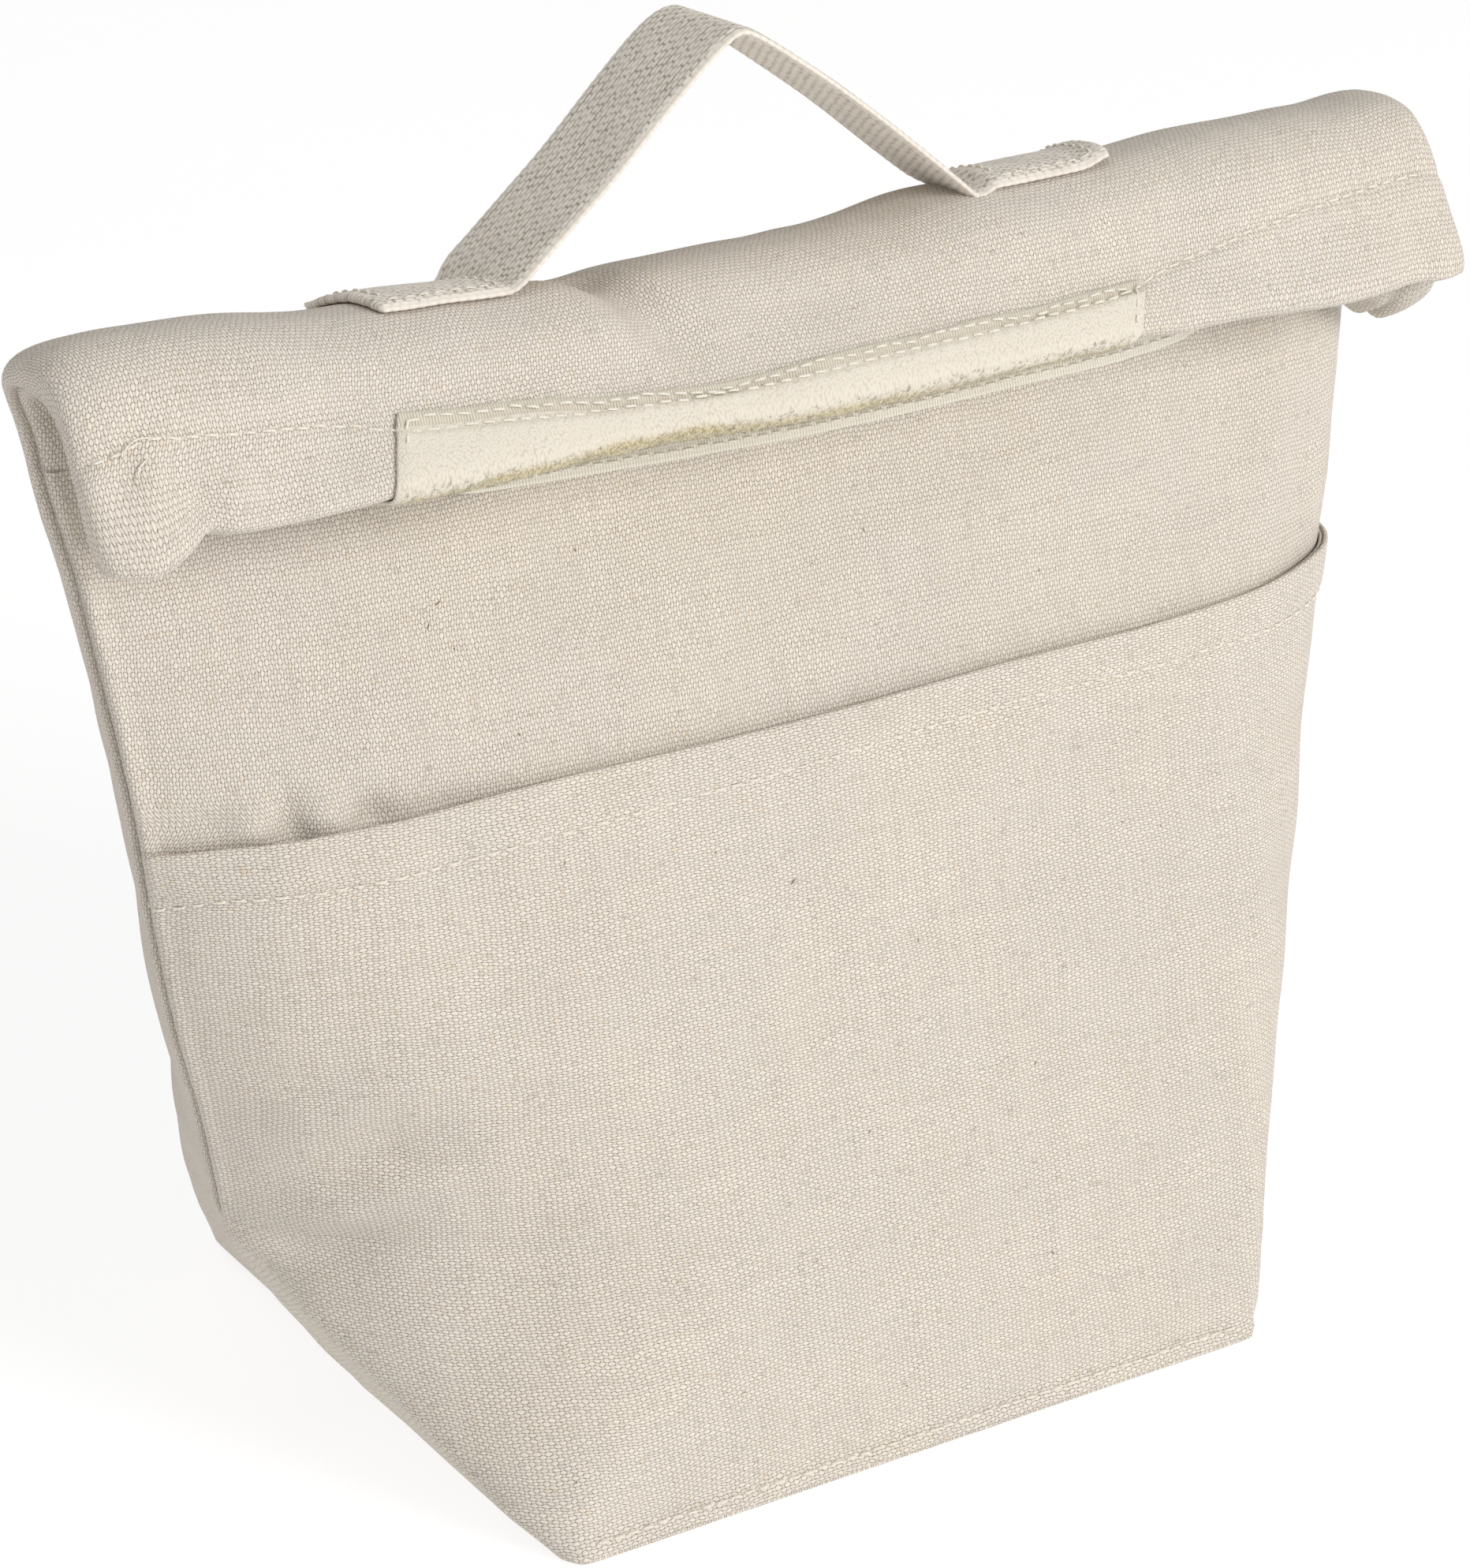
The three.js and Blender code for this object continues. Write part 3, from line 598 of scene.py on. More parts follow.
def half_outline(z, side, left):
    """From a side seam to where the wall is flat, as points with x negative, and the wall's depth. Low down the wall turns a corner;
    higher up it rounds off, more at the left, where the side is drawn in at the seam."""
    front = side < 0
    d = float(soft_max(NECK_F if front else NECK_B, BASE_HD - SLOPE * z, 1.6))
    lens = float(smooth((z - 6) / 140))
    mid = float(smooth((z - 25) / 80) * smooth((222 - z) / 55))
    high = float(smooth((z - 150) / 76))
    sharp = 0.05 + 0.29 * float(smooth(z / 45))
    xs = float(seam_at(z)) + (2.8 if left else 3.0) * mid
    ys = 2.6 * float(smooth((z - 195) / 30)) - (4.0 * mid + 3.0 * float(smooth((z - 42) / 30) * smooth((226 - z) / 24)) if left else 0.0)
    xc = min(BASE_HW + 0.33 * z, float(seam_at(z)) - 3 * float(smooth(z / 20)))
    if front and left:
        xc = float(corner_at(z)) if z < 86 else xc - 15
        a1, a2 = 1.0, 2.2 + 0.11 * z + 62 * float(smooth(z / 60))
    elif front:
        xc += 4 * mid + 2.5 * lens
        a1, a2 = sharp + 0.41 * lens, 2.2 + 0.11 * z + 34 * lens
    else:
        xc += 3.0 * high + 3.6 * math.exp(-((z - 34) / 27) ** 2) if left else 2.2 * high
        a1, a2 = (sharp + 0.41 * lens) * (1 - (0.35 if left else 0.5) * high), (2.6 + 0.11 * z + 12 * lens) * (1 - (0.55 if left else 0.85) * high)
    s, c = np.array([-xs, ys]), np.array([-xc, side * d])
    p1, p2 = c + (s - c) * a1, c + np.array([a2, 0])
    if front and left and z < GUSSET:
        k = z / GUSSET
        p1 = np.array([-BASE_HW, -BASE_HD]) * (1 - k) + np.array([-float(seam_at(GUSSET)) - 1.0, -3.6]) * k
    t = np.linspace(0, 1, 40)[:, None]
    curve = (1 - t) ** 2 * p1 + 2 * t * (1 - t) * c + t * t * p2
    t = np.linspace(0, 1, 12)[:-1, None]
    return np.concatenate([s + (p1 - s) * t, curve]), d


def outline(z, side):
    """Half of the bag's outline at height z as a dense line from the left seam to the right one. side -1 is the front."""
    a, d = half_outline(z, side, True)
    b, _ = half_outline(z, side, False)
    return np.concatenate([a, [[0.0, side * d]], (b * [-1, 1])[::-1]])


EDGE_MM = np.array([0, 0.3, 0.6, 0.95, 1.35, 1.8, 2.4, 3.1, 4.0, 5.1, 6.4, 8.0, 9.8])


def spread_u(n):
    """Columns from seam to seam, closer together near the seams."""
    e = EDGE_MM / HALF_CLOTH
    m = np.linspace(11.6 / HALF_CLOTH, 2 - 11.6 / HALF_CLOTH, n - 2 * len(e))
    return np.concatenate([e, m, 2 - e[::-1]]) - 1


def wall(side, us, zs):
    P = np.zeros((len(zs), len(us), 3))
    for k, z in enumerate(zs):
        q = outline(z, side)
        s = np.concatenate([[0], np.cumsum(np.hypot(*np.diff(q, axis=0).T))])
        d = (us + 1) / 2 * s[-1]
        P[k, :, 0], P[k, :, 1], P[k, :, 2] = np.interp(d, s, q[:, 0]), np.interp(d, s, q[:, 1]), z
    # rounds off the facets of the table between heights and along the outline
    for _ in range(2):
        P[:, 1:-1] = 0.25 * P[:, :-2] + 0.5 * P[:, 1:-1] + 0.25 * P[:, 2:]
    return P


def cloth_uv(P, v):
    """Cloth coordinates of a wall: across it, its own length from the middle; up it, v."""
    step = np.linalg.norm(np.diff(P, axis=1), axis=2)
    s = np.concatenate([np.zeros((len(P), 1)), np.cumsum(step, axis=1)], axis=1)
    m = np.array([np.interp(0.0, P[i, :, 0], s[i]) for i in range(len(P))])
    return np.stack([s - m[:, None], np.broadcast_to(np.asarray(v, float), s.shape)], -1)


# how much painted shade the colour gets in a side seam's groove
def groove(U):
    return np.exp(-((HALF_CLOTH - np.abs(U)) / 1.15) ** 2)


def seam_dip(U, deep=4.2, raise_=0.0, wide=0.85):
    """The groove at a side seam, where both walls turn in, and the edge beside it."""
    e = HALF_CLOTH - np.abs(U)
    return -deep * np.exp(-(e / wide) ** 2) - 0.5 * np.exp(-(e / 2.2) ** 2) + raise_ * np.exp(-((e - 3.0) / 2.0) ** 2)


# where the pocket's mouth runs, by cloth position from seam to seam
pocket_top = table([(-169, 145.6), (-160, 146.6), (-152, 147.6), (-143, 148.1), (-127, 148.8), (-110, 149.4), (-101, 150.0), (-84, 151.0), (-50, 151.2), (-17, 151.0), (17, 151.8),
                    (50, 152.4), (84, 152.5), (101, 153.2), (118, 153.7), (127, 154.3), (135, 155.2), (144, 156.2), (152, 156.6), (160, 156.8), (169, 156.9)])
hem_deep = table([(-169, 11.6), (-152, 10.4), (-127, 10.6), (-101, 10.6), (-84, 10.3), (-50, 9.4), (-17, 8.5), (17, 8.0), (50, 7.6), (84, 8.0), (118, 8.7), (140, 9.4), (169, 10.5)])


def slack(U, Z):
    """Soft unevenness that the cloth of the front half has."""
    r = 0.75 * wobble(U / 46 + 3.1, Z / 40, 5) + 0.40 * wobble(U / 21, Z / 17 + 9, 6) + 0.16 * wobble(U / 9, Z / 8, 7)
    fade = smooth(Z / 14) * smooth((SPLIT_Z - Z) / 14)
    belly = 1.9 * (1 - np.clip(np.abs(U) / 150, 0, 1) ** 2) * np.sin(np.pi * np.clip(Z / 215, 0, 1))
    dents = (-3.0 * bump(U, Z, -128, 79, 24, 7, 20) + 1.8 * bump(U, Z, -122, 92, 26, 7, 18) - 2.8 * bump(U, Z, -142, 55, 20, 6, 25)
             + 1.8 * bump(U, Z, -136, 66, 20, 5, 22) - 1.4 * bump(U, Z, -92, 66, 20, 9, 20) + 1.2 * bump(U, Z, -118, 44, 18, 7, 15)
             - 1.0 * bump(U, Z, 60, 70, 60, 10, -12) + 0.8 * bump(U, Z, 55, 88, 60, 9, -12)
             - 1.1 * bump(U, Z, 30, 108, 50, 9, 10) + 0.7 * bump(U, Z, 104, 60, 14, 40, 0)
             - 1.0 * bump(U, Z, -96, 112, 10, 26, 8) - 0.8 * bump(U, Z, 118, 92, 8, 30, 0))
    return (r + dents) * fade + belly


# ---- front panel
us_f = spread_u(176)
zs_f = np.concatenate([[1.0, 2.2, 4.0, 6.5], np.arange(9.0, 126, 3.2), np.arange(127.0, SPLIT_Z - 1, 1.75), [SPLIT_Z]])
Pf = wall(-1, us_f, zs_f)
Uf, Zf = np.meshgrid(us_f * HALF_CLOTH, zs_f)
Nf = normals(Pf, np.array([0, -1.0, 0]))
puck = (1.9 * bump(Uf, Zf, -143, 152.5, 5.0, 4.2, 10) + 1.6 * bump(Uf, Zf, -126, 152.5, 6.5, 4.5, -12) - 2.4 * bump(Uf, Zf, -134.5, 151, 3.2, 7, 5)
        - 2.6 * bump(Uf, Zf, -117, 151, 5.5, 4.5, -20) - 1.2 * bump(Uf, Zf, -100, 151, 14, 3, 0)
        - 1.5 * bump(Uf, Zf, -112, 218, 40, 8, 6) + 0.9 * bump(Uf, Zf, -90, 199, 40, 8, 6)
        + 0.8 * bump(Uf, Zf, 60, 186, 40, 12, 5) - 0.9 * bump(Uf, Zf, 100, 176, 30, 9, 20)
        - 1.6 * bump(Uf, Zf, 141, 172, 7, 16, -12) + 0.9 * bump(Uf, Zf, 132, 190, 8, 14, -10))
hold = smooth((Zf - 128) / 14)
front_relief = slack(Uf, Zf) * 0.9 + puck * hold * smooth((SPLIT_Z - Zf) / 10) - 0.9 * (1 - hold)
edge_f = seam_dip(Uf, 5.0, 1.2)
Pf = Pf + Nf * (front_relief * smooth((HALF_CLOTH - np.abs(Uf)) / 10) + edge_f * smooth(Zf / 20) * smooth((SPLIT_Z + 14 - Zf) / 20))[..., None]
Nf = normals(Pf, np.array([0, -1.0, 0]))
# groove carries the painted shade of the side seam's groove
canvas_front = sheet("canvas_front_panel", Pf, Nf, cloth_uv(Pf, (zs_f * COS_RUN)[:, None]), 1.1, CANVAS_F, steps=0, floats={"groove": groove(Uf) * smooth(Zf / 30)})

# ---- back panel
us_b = spread_u(150)
zs_b = np.concatenate([[1.0, 2.2, 4.0, 6.5], np.arange(9.0, SPLIT_Z - 1, 2.9), [SPLIT_Z]])
Pb = wall(1, us_b, zs_b)
Ub, Zb = np.meshgrid(us_b * HALF_CLOTH, zs_b)
Nb = normals(Pb, np.array([0, 1.0, 0]))
back_relief = (0.9 * wobble(Ub / 50 + 7, Zb / 44, 15) + 0.45 * wobble(Ub / 22, Zb / 18, 16) + 0.15 * wobble(Ub / 9, Zb / 8, 18)
               + 2.2 * (1 - np.clip(np.abs(Ub) / 150, 0, 1) ** 2) * np.sin(np.pi * np.clip(Zb / 210, 0, 1))
               - 1.2 * bump(Ub, Zb, -90, 74, 14, 34, 12) - 1.6 * bump(Ub, Zb, 98, 84, 13, 34, -12)
               - 1.4 * bump(Ub, Zb, 10, 196, 70, 9, 3) + 1.0 * bump(Ub, Zb, 0, 176, 80, 10, -3)
               + 0.5 * bump(Ub, Zb, -120, 60, 18, 8, 30) - 0.7 * bump(Ub, Zb, -128, 74, 16, 7, 30)
               - 1.6 * bump(Ub, Zb, 132, 66, 15, 8, -28))
Pb = Pb + Nb * (back_relief * smooth(Zb / 14) * smooth((SPLIT_Z - Zb) / 14) * smooth((HALF_CLOTH - np.abs(Ub)) / 10)
                + seam_dip(Ub, 3.6, 0.3) * smooth(Zb / 20))[..., None]
flare = 2.2 * smooth((5.0 - Zb) / 4.0) * smooth((82 - np.abs(Pb[..., 0])) / 7)
Pb[..., 1] += flare
Nb = normals(Pb, np.array([0, 1.0, 0]))
# groove carries the painted shade of the side seam's groove
canvas_back = sheet("canvas_back_panel", Pb, Nb, cloth_uv(Pb, (zs_b * COS_RUN)[:, None]), 1.1, CANVAS_B, steps=0, floats={"groove": groove(Ub) * smooth(Zb / 30)})

# ---- base
gx, gy = np.linspace(-1, 1, 61), np.linspace(-1, 1, 53)
GX, GY = np.meshgrid(gx, gy)
corner = np.clip((np.abs(GX) ** 8 + np.abs(GY) ** 8), 0, 2)
bx = GX * np.where(GY > 0, BASE_HW - 0.8 - 1.6 * GY ** 4, BASE_HW - 0.6)
by = GY * np.where(GY > 0, BASE_HD - 1.2 + 3.0 * smooth((80 - np.abs(bx)) / 8), BASE_HD - 0.4 + 2.2 * smooth((88.5 - np.abs(bx)) / 3))
bz = 0.05 + 0.9 * np.maximum(smooth((np.abs(GX) - 0.955) / 0.045), 0) + 0.35 * (0.5 + 0.5 * wobble(GX * 3, GY * 3, 21)) * (1 - np.maximum(np.abs(GX), np.abs(GY)) ** 4)
Pz = np.stack([bx, by, bz], -1)
Nz = normals(Pz, np.array([0, 0, -1.0]))
canvas_base = sheet("canvas_base_panel", Pz, Nz, np.stack([bx, by], -1), 1.1, CANVAS_B)

# ---- pocket
us_p = spread_u(190)
rows = np.concatenate([np.linspace(0, 0.06, 8)[:-1], np.linspace(0.06, 0.88, 46)[:-1], np.linspace(0.88, 1.0, 22)])
top = pocket_top(us_p * HALF_CLOTH)
Pp = np.zeros((len(rows), len(us_p), 3))
fine_z = np.linspace(0.6, 170, 200)
W = wall(-1, us_p, fine_z)
for j in range(len(us_p)):
    z = 0.6 + rows * (top[j] - 0.6)
    for c in range(3):
        Pp[:, j, c] = np.interp(z, fine_z, W[:, j, c])
Up = np.broadcast_to(us_p * HALF_CLOTH, Pp.shape[:2])
Zp = Pp[..., 2]
Np = normals(Pp, np.array([0, -1.0, 0]))
below = top[None] - Zp                                    # how far under the mouth
HEM = hem_deep(us_p * HALF_CLOTH)[None]
turned = smooth((HEM + 1.2 - below) / 2.4)                # cloth is double down to the hem stitch
gape = (1.7 * np.exp(-((Up + 132) / 19) ** 2) + 0.8 * np.exp(-((Up - 20) / 60) ** 2) + 0.7 * np.exp(-((Up + 60) / 30) ** 2)) * smooth((40 - below) / 40)
pull = 0.16 * np.sin(Up * 2 * np.pi / 4.0) * np.exp(-((below - HEM) / 2.6) ** 2) - 0.30 * np.exp(-((below - HEM) / 0.9) ** 2)
wave = 0.35 * wobble(Up / 14, below / 10, 31) * smooth((26 - below) / 16)
pocket_relief = slack(Up, Zp) + 1.55 + 0.75 * turned + gape + pull + wave
Pp = Pp + Np * (pocket_relief * smooth((HALF_CLOTH - np.abs(Up)) / 8) * np.clip(0.35 + Zp / 12, 0.35, 1)
                + seam_dip(Up, 5.0, 1.3) * smooth(Zp / 20))[..., None]
Pp[..., 1] -= 1.7 * smooth((5.0 - Zp) / 4.0) * smooth((89.5 - np.abs(Pp[..., 0])) / 2.5)
Np = normals(Pp, np.array([0, -1.0, 0]))
uvp = cloth_uv(Pp, Zp * COS_RUN)
# groove carries the painted shade of the side seam's groove
front_pocket = sheet("front_pocket_cloth", Pp, Np, uvp, 1.1, CANVAS_P, steps=3, floats={"groove": groove(Up) * smooth(Zp / 30)})
# the turned-in part of the hem, behind the mouth
k0 = int(np.argmax(rows > 1 - 13.5 / 152))
Ph = (Pp - Np * 1.22)[k0:]
Ph = Ph.copy(); Ph[..., 2] -= 0.35
pocket_hem = sheet("pocket_hem_fold", Ph, Np[k0:], uvp[k0:] + [7.3, 3.1], 0.9, CANVAS_P)


def on_grid(P, N, rows_f, cols):
    """Points and normals on a grid at fractional row numbers, one for each column number."""
    i = np.clip(np.floor(rows_f).astype(int), 0, P.shape[0] - 2)
    j = np.clip(np.floor(cols).astype(int), 0, P.shape[1] - 2)
    a, b = (rows_f - i)[:, None], (cols - j)[:, None]
    f = lambda G: (G[i, j] * (1 - a) + G[i + 1, j] * a) * (1 - b) + (G[i, j + 1] * (1 - a) + G[i + 1, j + 1] * a) * b
    return f(P), unit(f(N))


cols = np.linspace(2.5, len(us_p) - 3.5, 900)
row_of = np.array([np.interp(HEM[0, c], below[::-1, c], np.arange(len(rows))[::-1]) for c in range(len(us_p))])
hp, hn = on_grid(Pp, Np, np.interp(cols, np.arange(len(us_p)), row_of), cols)
pocket_stitch = stitches("pocket_hem_stitches", hp, hn, THREAD, pitch=4.1, share=0.76, r=0.27, lift=0.30, seed=11)
# base edge stitches, front and back
col0 = int(np.argmin(np.abs(Pp[2, :, 0] + 84))); col1 = int(np.argmin(np.abs(Pp[2, :, 0] - 86)))
cols = np.linspace(col0, col1, 500)
row_of = np.array([np.interp(3.1, Zp[:, int(c)], np.arange(len(rows))) for c in range(len(us_p))])
hp, hn = on_grid(Pp, Np, np.interp(cols, np.arange(len(us_p)), row_of), cols)
base_stitch_f = stitches("base_stitches_front", hp, hn, THREAD, pitch=3.6, share=0.82, r=0.30, lift=0.46, seed=12)
col0 = int(np.argmin(np.abs(Pb[2, :, 0] + 84))); col1 = int(np.argmin(np.abs(Pb[2, :, 0] - 84)))
cols = np.linspace(min(col0, col1), max(col0, col1), 500)
row_of = np.array([np.interp(3.1, Zb[:, int(c)], np.arange(len(zs_b))) for c in range(len(us_b))])
hp, hn = on_grid(Pb, Nb, np.interp(cols, np.arange(len(us_b)), row_of), cols)
base_stitch_b = stitches("base_stitches_back", hp, hn, THREAD, pitch=3.6, share=0.82, r=0.30, lift=0.46, seed=13)

# ---- insulation and lining inside the walls
us_i = np.linspace(-0.94, 0.94, 72)
zs_i = np.concatenate([np.arange(7.0, SPLIT_Z - 2, 6.0), [SPLIT_Z]])


def inner_wall(name, side, at, thick, mat, z0):
    zs = np.concatenate([[z0], zs_i[zs_i > z0 + 2]])
    P = wall(side, us_i, zs)
    N = normals(P, np.array([0, float(side), 0]))
    U, Z = np.meshgrid(us_i * HALF_CLOTH, zs)
    P = P - N * (at + 0.25 * wobble(U / 18, Z / 16, 40 + int(at)))[..., None]
    return sheet(name, P, normals(P, np.array([0, float(side), 0])), np.stack([U, Z], -1), thick, mat)


foam_front = inner_wall("foam_front_sheet", -1, 2.9, 2.0, FOAM, 5.0)
foam_back = inner_wall("foam_back_sheet", 1, 2.9, 2.0, FOAM, 5.0)
lining_front = inner_wall("lining_front_film", -1, 5.2, 0.5, FOIL, 6.2)
lining_back = inner_wall("lining_back_film", 1, 5.2, 0.5, FOIL, 6.2)


def floor_sheet(name, hx, hy, z, thick, mat, seed):
    x, y = np.meshgrid(np.linspace(-hx, hx, 30), np.linspace(-hy, hy, 26))
    cut = 1 - 0.035 * np.clip((np.abs(x) / hx) ** 8 * (np.abs(y) / hy) ** 8, 0, 1)
    P = np.stack([x * cut, y * cut, z + thick + 0.2 * wobble(x / 30, y / 30, seed)], -1)
    return sheet(name, P, normals(P, np.array([0, 0, 1.0])), np.stack([x, y], -1), thick, mat)


foam_base = floor_sheet("foam_base_sheet", 85, 74, 1.9, 2.4, FOAM, 51)
lining_base = floor_sheet("lining_base_film", 83, 71, 5.0, 0.5, FOIL, 52)

# ------------------------------------------------------------------ the rolled top
def flap_point(s, n):
    """A point s down the hanging flap and n in from its face."""
    return (FOLD_Y - SN * s + CS * n, TOP_Z - CS * s - SN * n)


# the outer skin of the roll from the back of the neck over the top, down the front and under to the mouth: y, z, how far it
# reaches left and right, how much of the top's unevenness it takes
OUT = [(11.6, 226.0, -159.8, 159.8, 0), (11.6, 231, -160.6, 160.4, 0), (11.5, 236, -161.8, 161.0, 0.1), (10.9, 241, -163.4, 161.5, 0.35),
       (9.0, 245.6, -165.0, 161.8, 0.65), (5.4, 249.2, -166.0, 162.0, 0.9), (-0.5, 251.8, -166.4, 162.0, 1), (-7, 253.4, -166.6, 162.0, 1),
       (-13.2, 253.8, -166.6, 162.0, 1), (-18.8, 252.2, -166.4, 162.1, 1), (-23.4, 248.8, -166.2, 162.2, 0.85), (-26.6, 244.2, -166.0, 162.8, 0.6),
       (-29.0, 239.4, -165.8, 163.5, 0.35), (-31.5, 234.6, -165.6, 164.2, 0.15), (-34.2, 230.2, -165.4, 164.8, 0), (-36.2, 226.6, -165.0, 165.2, 0),
       (-37.0, 224.2, -164.4, 165.3, 0), (-35.6, 222.0, -163.2, 165.1, 0), (-31.6, 220.4, -162.2, 165.2, 0), (-26.0, 218.6, -161.2, 165.4, 0),
       (-20.0, 217.0, -160.0, 165.0, 0), (-15.6, 216.4, -158.6, 163.4, 0), (-13.0, 218.6, -157.4, 160.0, 0), (-11.6, 222.0, -156.4, 159.2, 0),
       (-8.6, 230.2, -155.0, 158.4, 0)]
# the skin that faces it, station by station
INN = [(-5.4, 226.0), (-5.4, 230), (-5.4, 234), (-5.5, 236.6), (-6.2, 238.2), (-7.8, 239.1), (-10.5, 239.4), (-12.4, 239.5), (-14.2, 239.5),
       (-15.9, 239.2), (-17.2, 238.4), (-18.6, 236.4), flap_point(16.5, 12.5), flap_point(19.6, 12.6), flap_point(22.8, 12.6), flap_point(26.0, 12.5),
       flap_point(27.6, 12.5), flap_point(28.5, 12.6), flap_point(28.9, 12.9), flap_point(28.9, 13.3), flap_point(28.6, 13.6), flap_point(27.8, 13.8),
       flap_point(26, 13.8), flap_point(21.6, 13.6), flap_point(13.4, 13.4)]
W_TOP = [0, 0, 0, 0.22, 0.5, 0.8, 1] + [1] * 18
W_MOUTH = [0] * 17 + [0.03, 0.2, 0.5, 0.8, 0.97, 1, 1, 1]

TT = np.linspace(0, 24, 1921)
out_at = table([(k,) + o for k, o in enumerate(OUT)])
inn_at = table([(k,) + i for k, i in enumerate(INN)])
O_ALL, I_ALL = out_at(TT), inn_at(TT)
TAU = np.concatenate([[0], np.cumsum(np.hypot(*np.diff(O_ALL[:, :2], axis=0).T))])
S_ALL = -(O_ALL[:, 0] - FOLD_Y) * SN - (O_ALL[:, 1] - TOP_Z) * CS
tan = np.gradient(O_ALL[:, :2], axis=0)
NRM = unit(np.stack([tan[:, 1], -tan[:, 0]], -1))


def along(values, tau):
    return np.interp(tau, TAU, values)


def tau_at(station):
    return float(np.interp(station, TT, TAU))


k0, k1 = int(9.5 * 80), int(16.4 * 80)


def tau_of_s(s):
    """Length along the skin for a distance s down the flap's face."""
    return np.interp(s, S_ALL[k0:k1], TAU[k0:k1])


hem_s = table([(-166, 14.0), (-156, 12.3), (-152, 11.2), (-143.6, 12.1), (-133.6, 13.0), (-121, 13.7), (-108, 15.3), (-100.6, 17.6), (-86, 19.6), (-74, 20.8),
               (-59, 22.5), (-38, 24.0), (-10, 24.6), (20, 23.6), (50, 22.6), (70, 21.2), (77.7, 19.7), (83, 17.8), (91.7, 16.3), (106, 14.1), (120, 12.3), (133.7, 11.1), (145, 10.1),
               (156, 10.0), (162, 10.6)])
tape_s = table([(-108, 14.2), (-99, 14.6), (-88.6, 15.8), (-69.6, 17.2), (-53.7, 19.9), (-38.7, 21.3), (-31, 22.2), (-20, 22.2), (-8, 21.5), (7.5, 20.7), (27, 20.5), (34, 20.0),
                (47, 20.2), (68, 19.0), (80, 18.7)])
rise = table([(-172, 0.4), (-162, 1.8), (-151, 1.9), (-130, 0.8), (-116, -0.5), (-101, -2.0), (-75, -3.4), (-54, -4.5), (-45, -5.4), (-34, -4.6), (-25, -4.0), (7, -4.3), (25, -3.5),
              (36, -1.8), (60, -1.0), (81, -0.6), (106, 1.5), (125, 2.3), (144, 2.5), (157, 3.4), (165, 3.5)])


def hem_tau(x):
    return tau_of_s(hem_s(np.clip(x, -165, 161)))


def roll_relief(tau, x):
    """How far the roll's outer skin stands out, in or out along its own normal."""
    h = hem_tau(x)
    r = 0.85 * wobble(x / 43 + 5, tau / 27, 61) + 0.42 * wobble(x / 18, tau / 15 + 4, 62) + 0.14 * wobble(x / 8, tau / 7, 63)
    t7, t12 = tau_at(7.5), tau_at(12)
    crease = np.interp(tau, [t7 - 9, t7, t12, t12 + 9], [-47, -44, -33, -30])
    r = r - 2.6 * np.exp(-((x - crease) / 6.0) ** 2) * smooth((tau - t7 + 12) / 10) * smooth((t12 + 8 - tau) / 12)
    r = r + 1.2 * np.exp(-((x - crease + 11) / 7.0) ** 2) * smooth((tau - t7 + 10) / 10) * smooth((t12 + 4 - tau) / 12)
    # soft swags of the front between the closure's ends
    t10, t14 = tau_at(10.5), tau_at(14)
    r = r + 1.4 * bump(x, tau, -128, t10 + 4, 16, 7, 0) - 1.5 * bump(x, tau, -112, t12 + 2, 9, 10, -30) + 1.2 * bump(x, tau, 118, t10 + 2, 18, 8, 0)
    r = r - 1.2 * bump(x, tau, 88, t12, 9, 10, 30) - 1.3 * bump(x, tau, 0, t10 + 3, 26, 7, 0) + 0.8 * bump(x, tau, 45, t10, 16, 8, 0)
    r = r - 0.8 * bump(x, tau, -146, t14, 5, 8, -20) + 0.8 * bump(x, tau, -154, t14 + 2, 6, 10, -12) - 1.3 * bump(x, tau, 150, t14 + 3, 5, 8, 0)
    t15 = tau_at(15.2)
    r = r - 1.2 * bump(x, tau, -143.0, t15 - 2, 2.8, 4.5, -25) + 0.5 * bump(x, tau, -150.5, t15 - 5, 5.0, 9, -20) - 1.5 * bump(x, tau, -156, t14 - 9, 3.2, 8, 28)
    r = r + 0.9 * bump(x, tau, -135.5, t15 - 4, 4.0, 5, 0) - 1.1 * bump(x, tau, -128, t15 - 1, 7, 3.5, 10)
    # the hem: double cloth below its stitches, pulled in along them
    d = tau - h
    r = r + 0.55 * smooth((d + 0.8) / 2.0) - 0.5 * np.exp(-((d) / 1.0) ** 2) + 0.14 * np.sin(x * 2 * np.pi / 4.0) * np.exp(-(d / 2.6) ** 2)
    return r * smooth(tau / 16)


droop = table([(14, 0), (15, -0.4), (16, -1.6), (16.5, -1.6), (17, -0.8), (17.6, 0.8), (18.0, 0.3), (18.4, -2.8), (18.9, -6.4), (19.5, -8.4), (20, -9.6), (21, -10.0), (22, -7.4), (23, -2.4), (24, 0)])
set_back = table([(17.0, 0), (17.6, 1.5), (18.1, 2.8), (19, 2.6), (20, 2.4), (21, 2.0), (22, 0.8), (23, 0)])


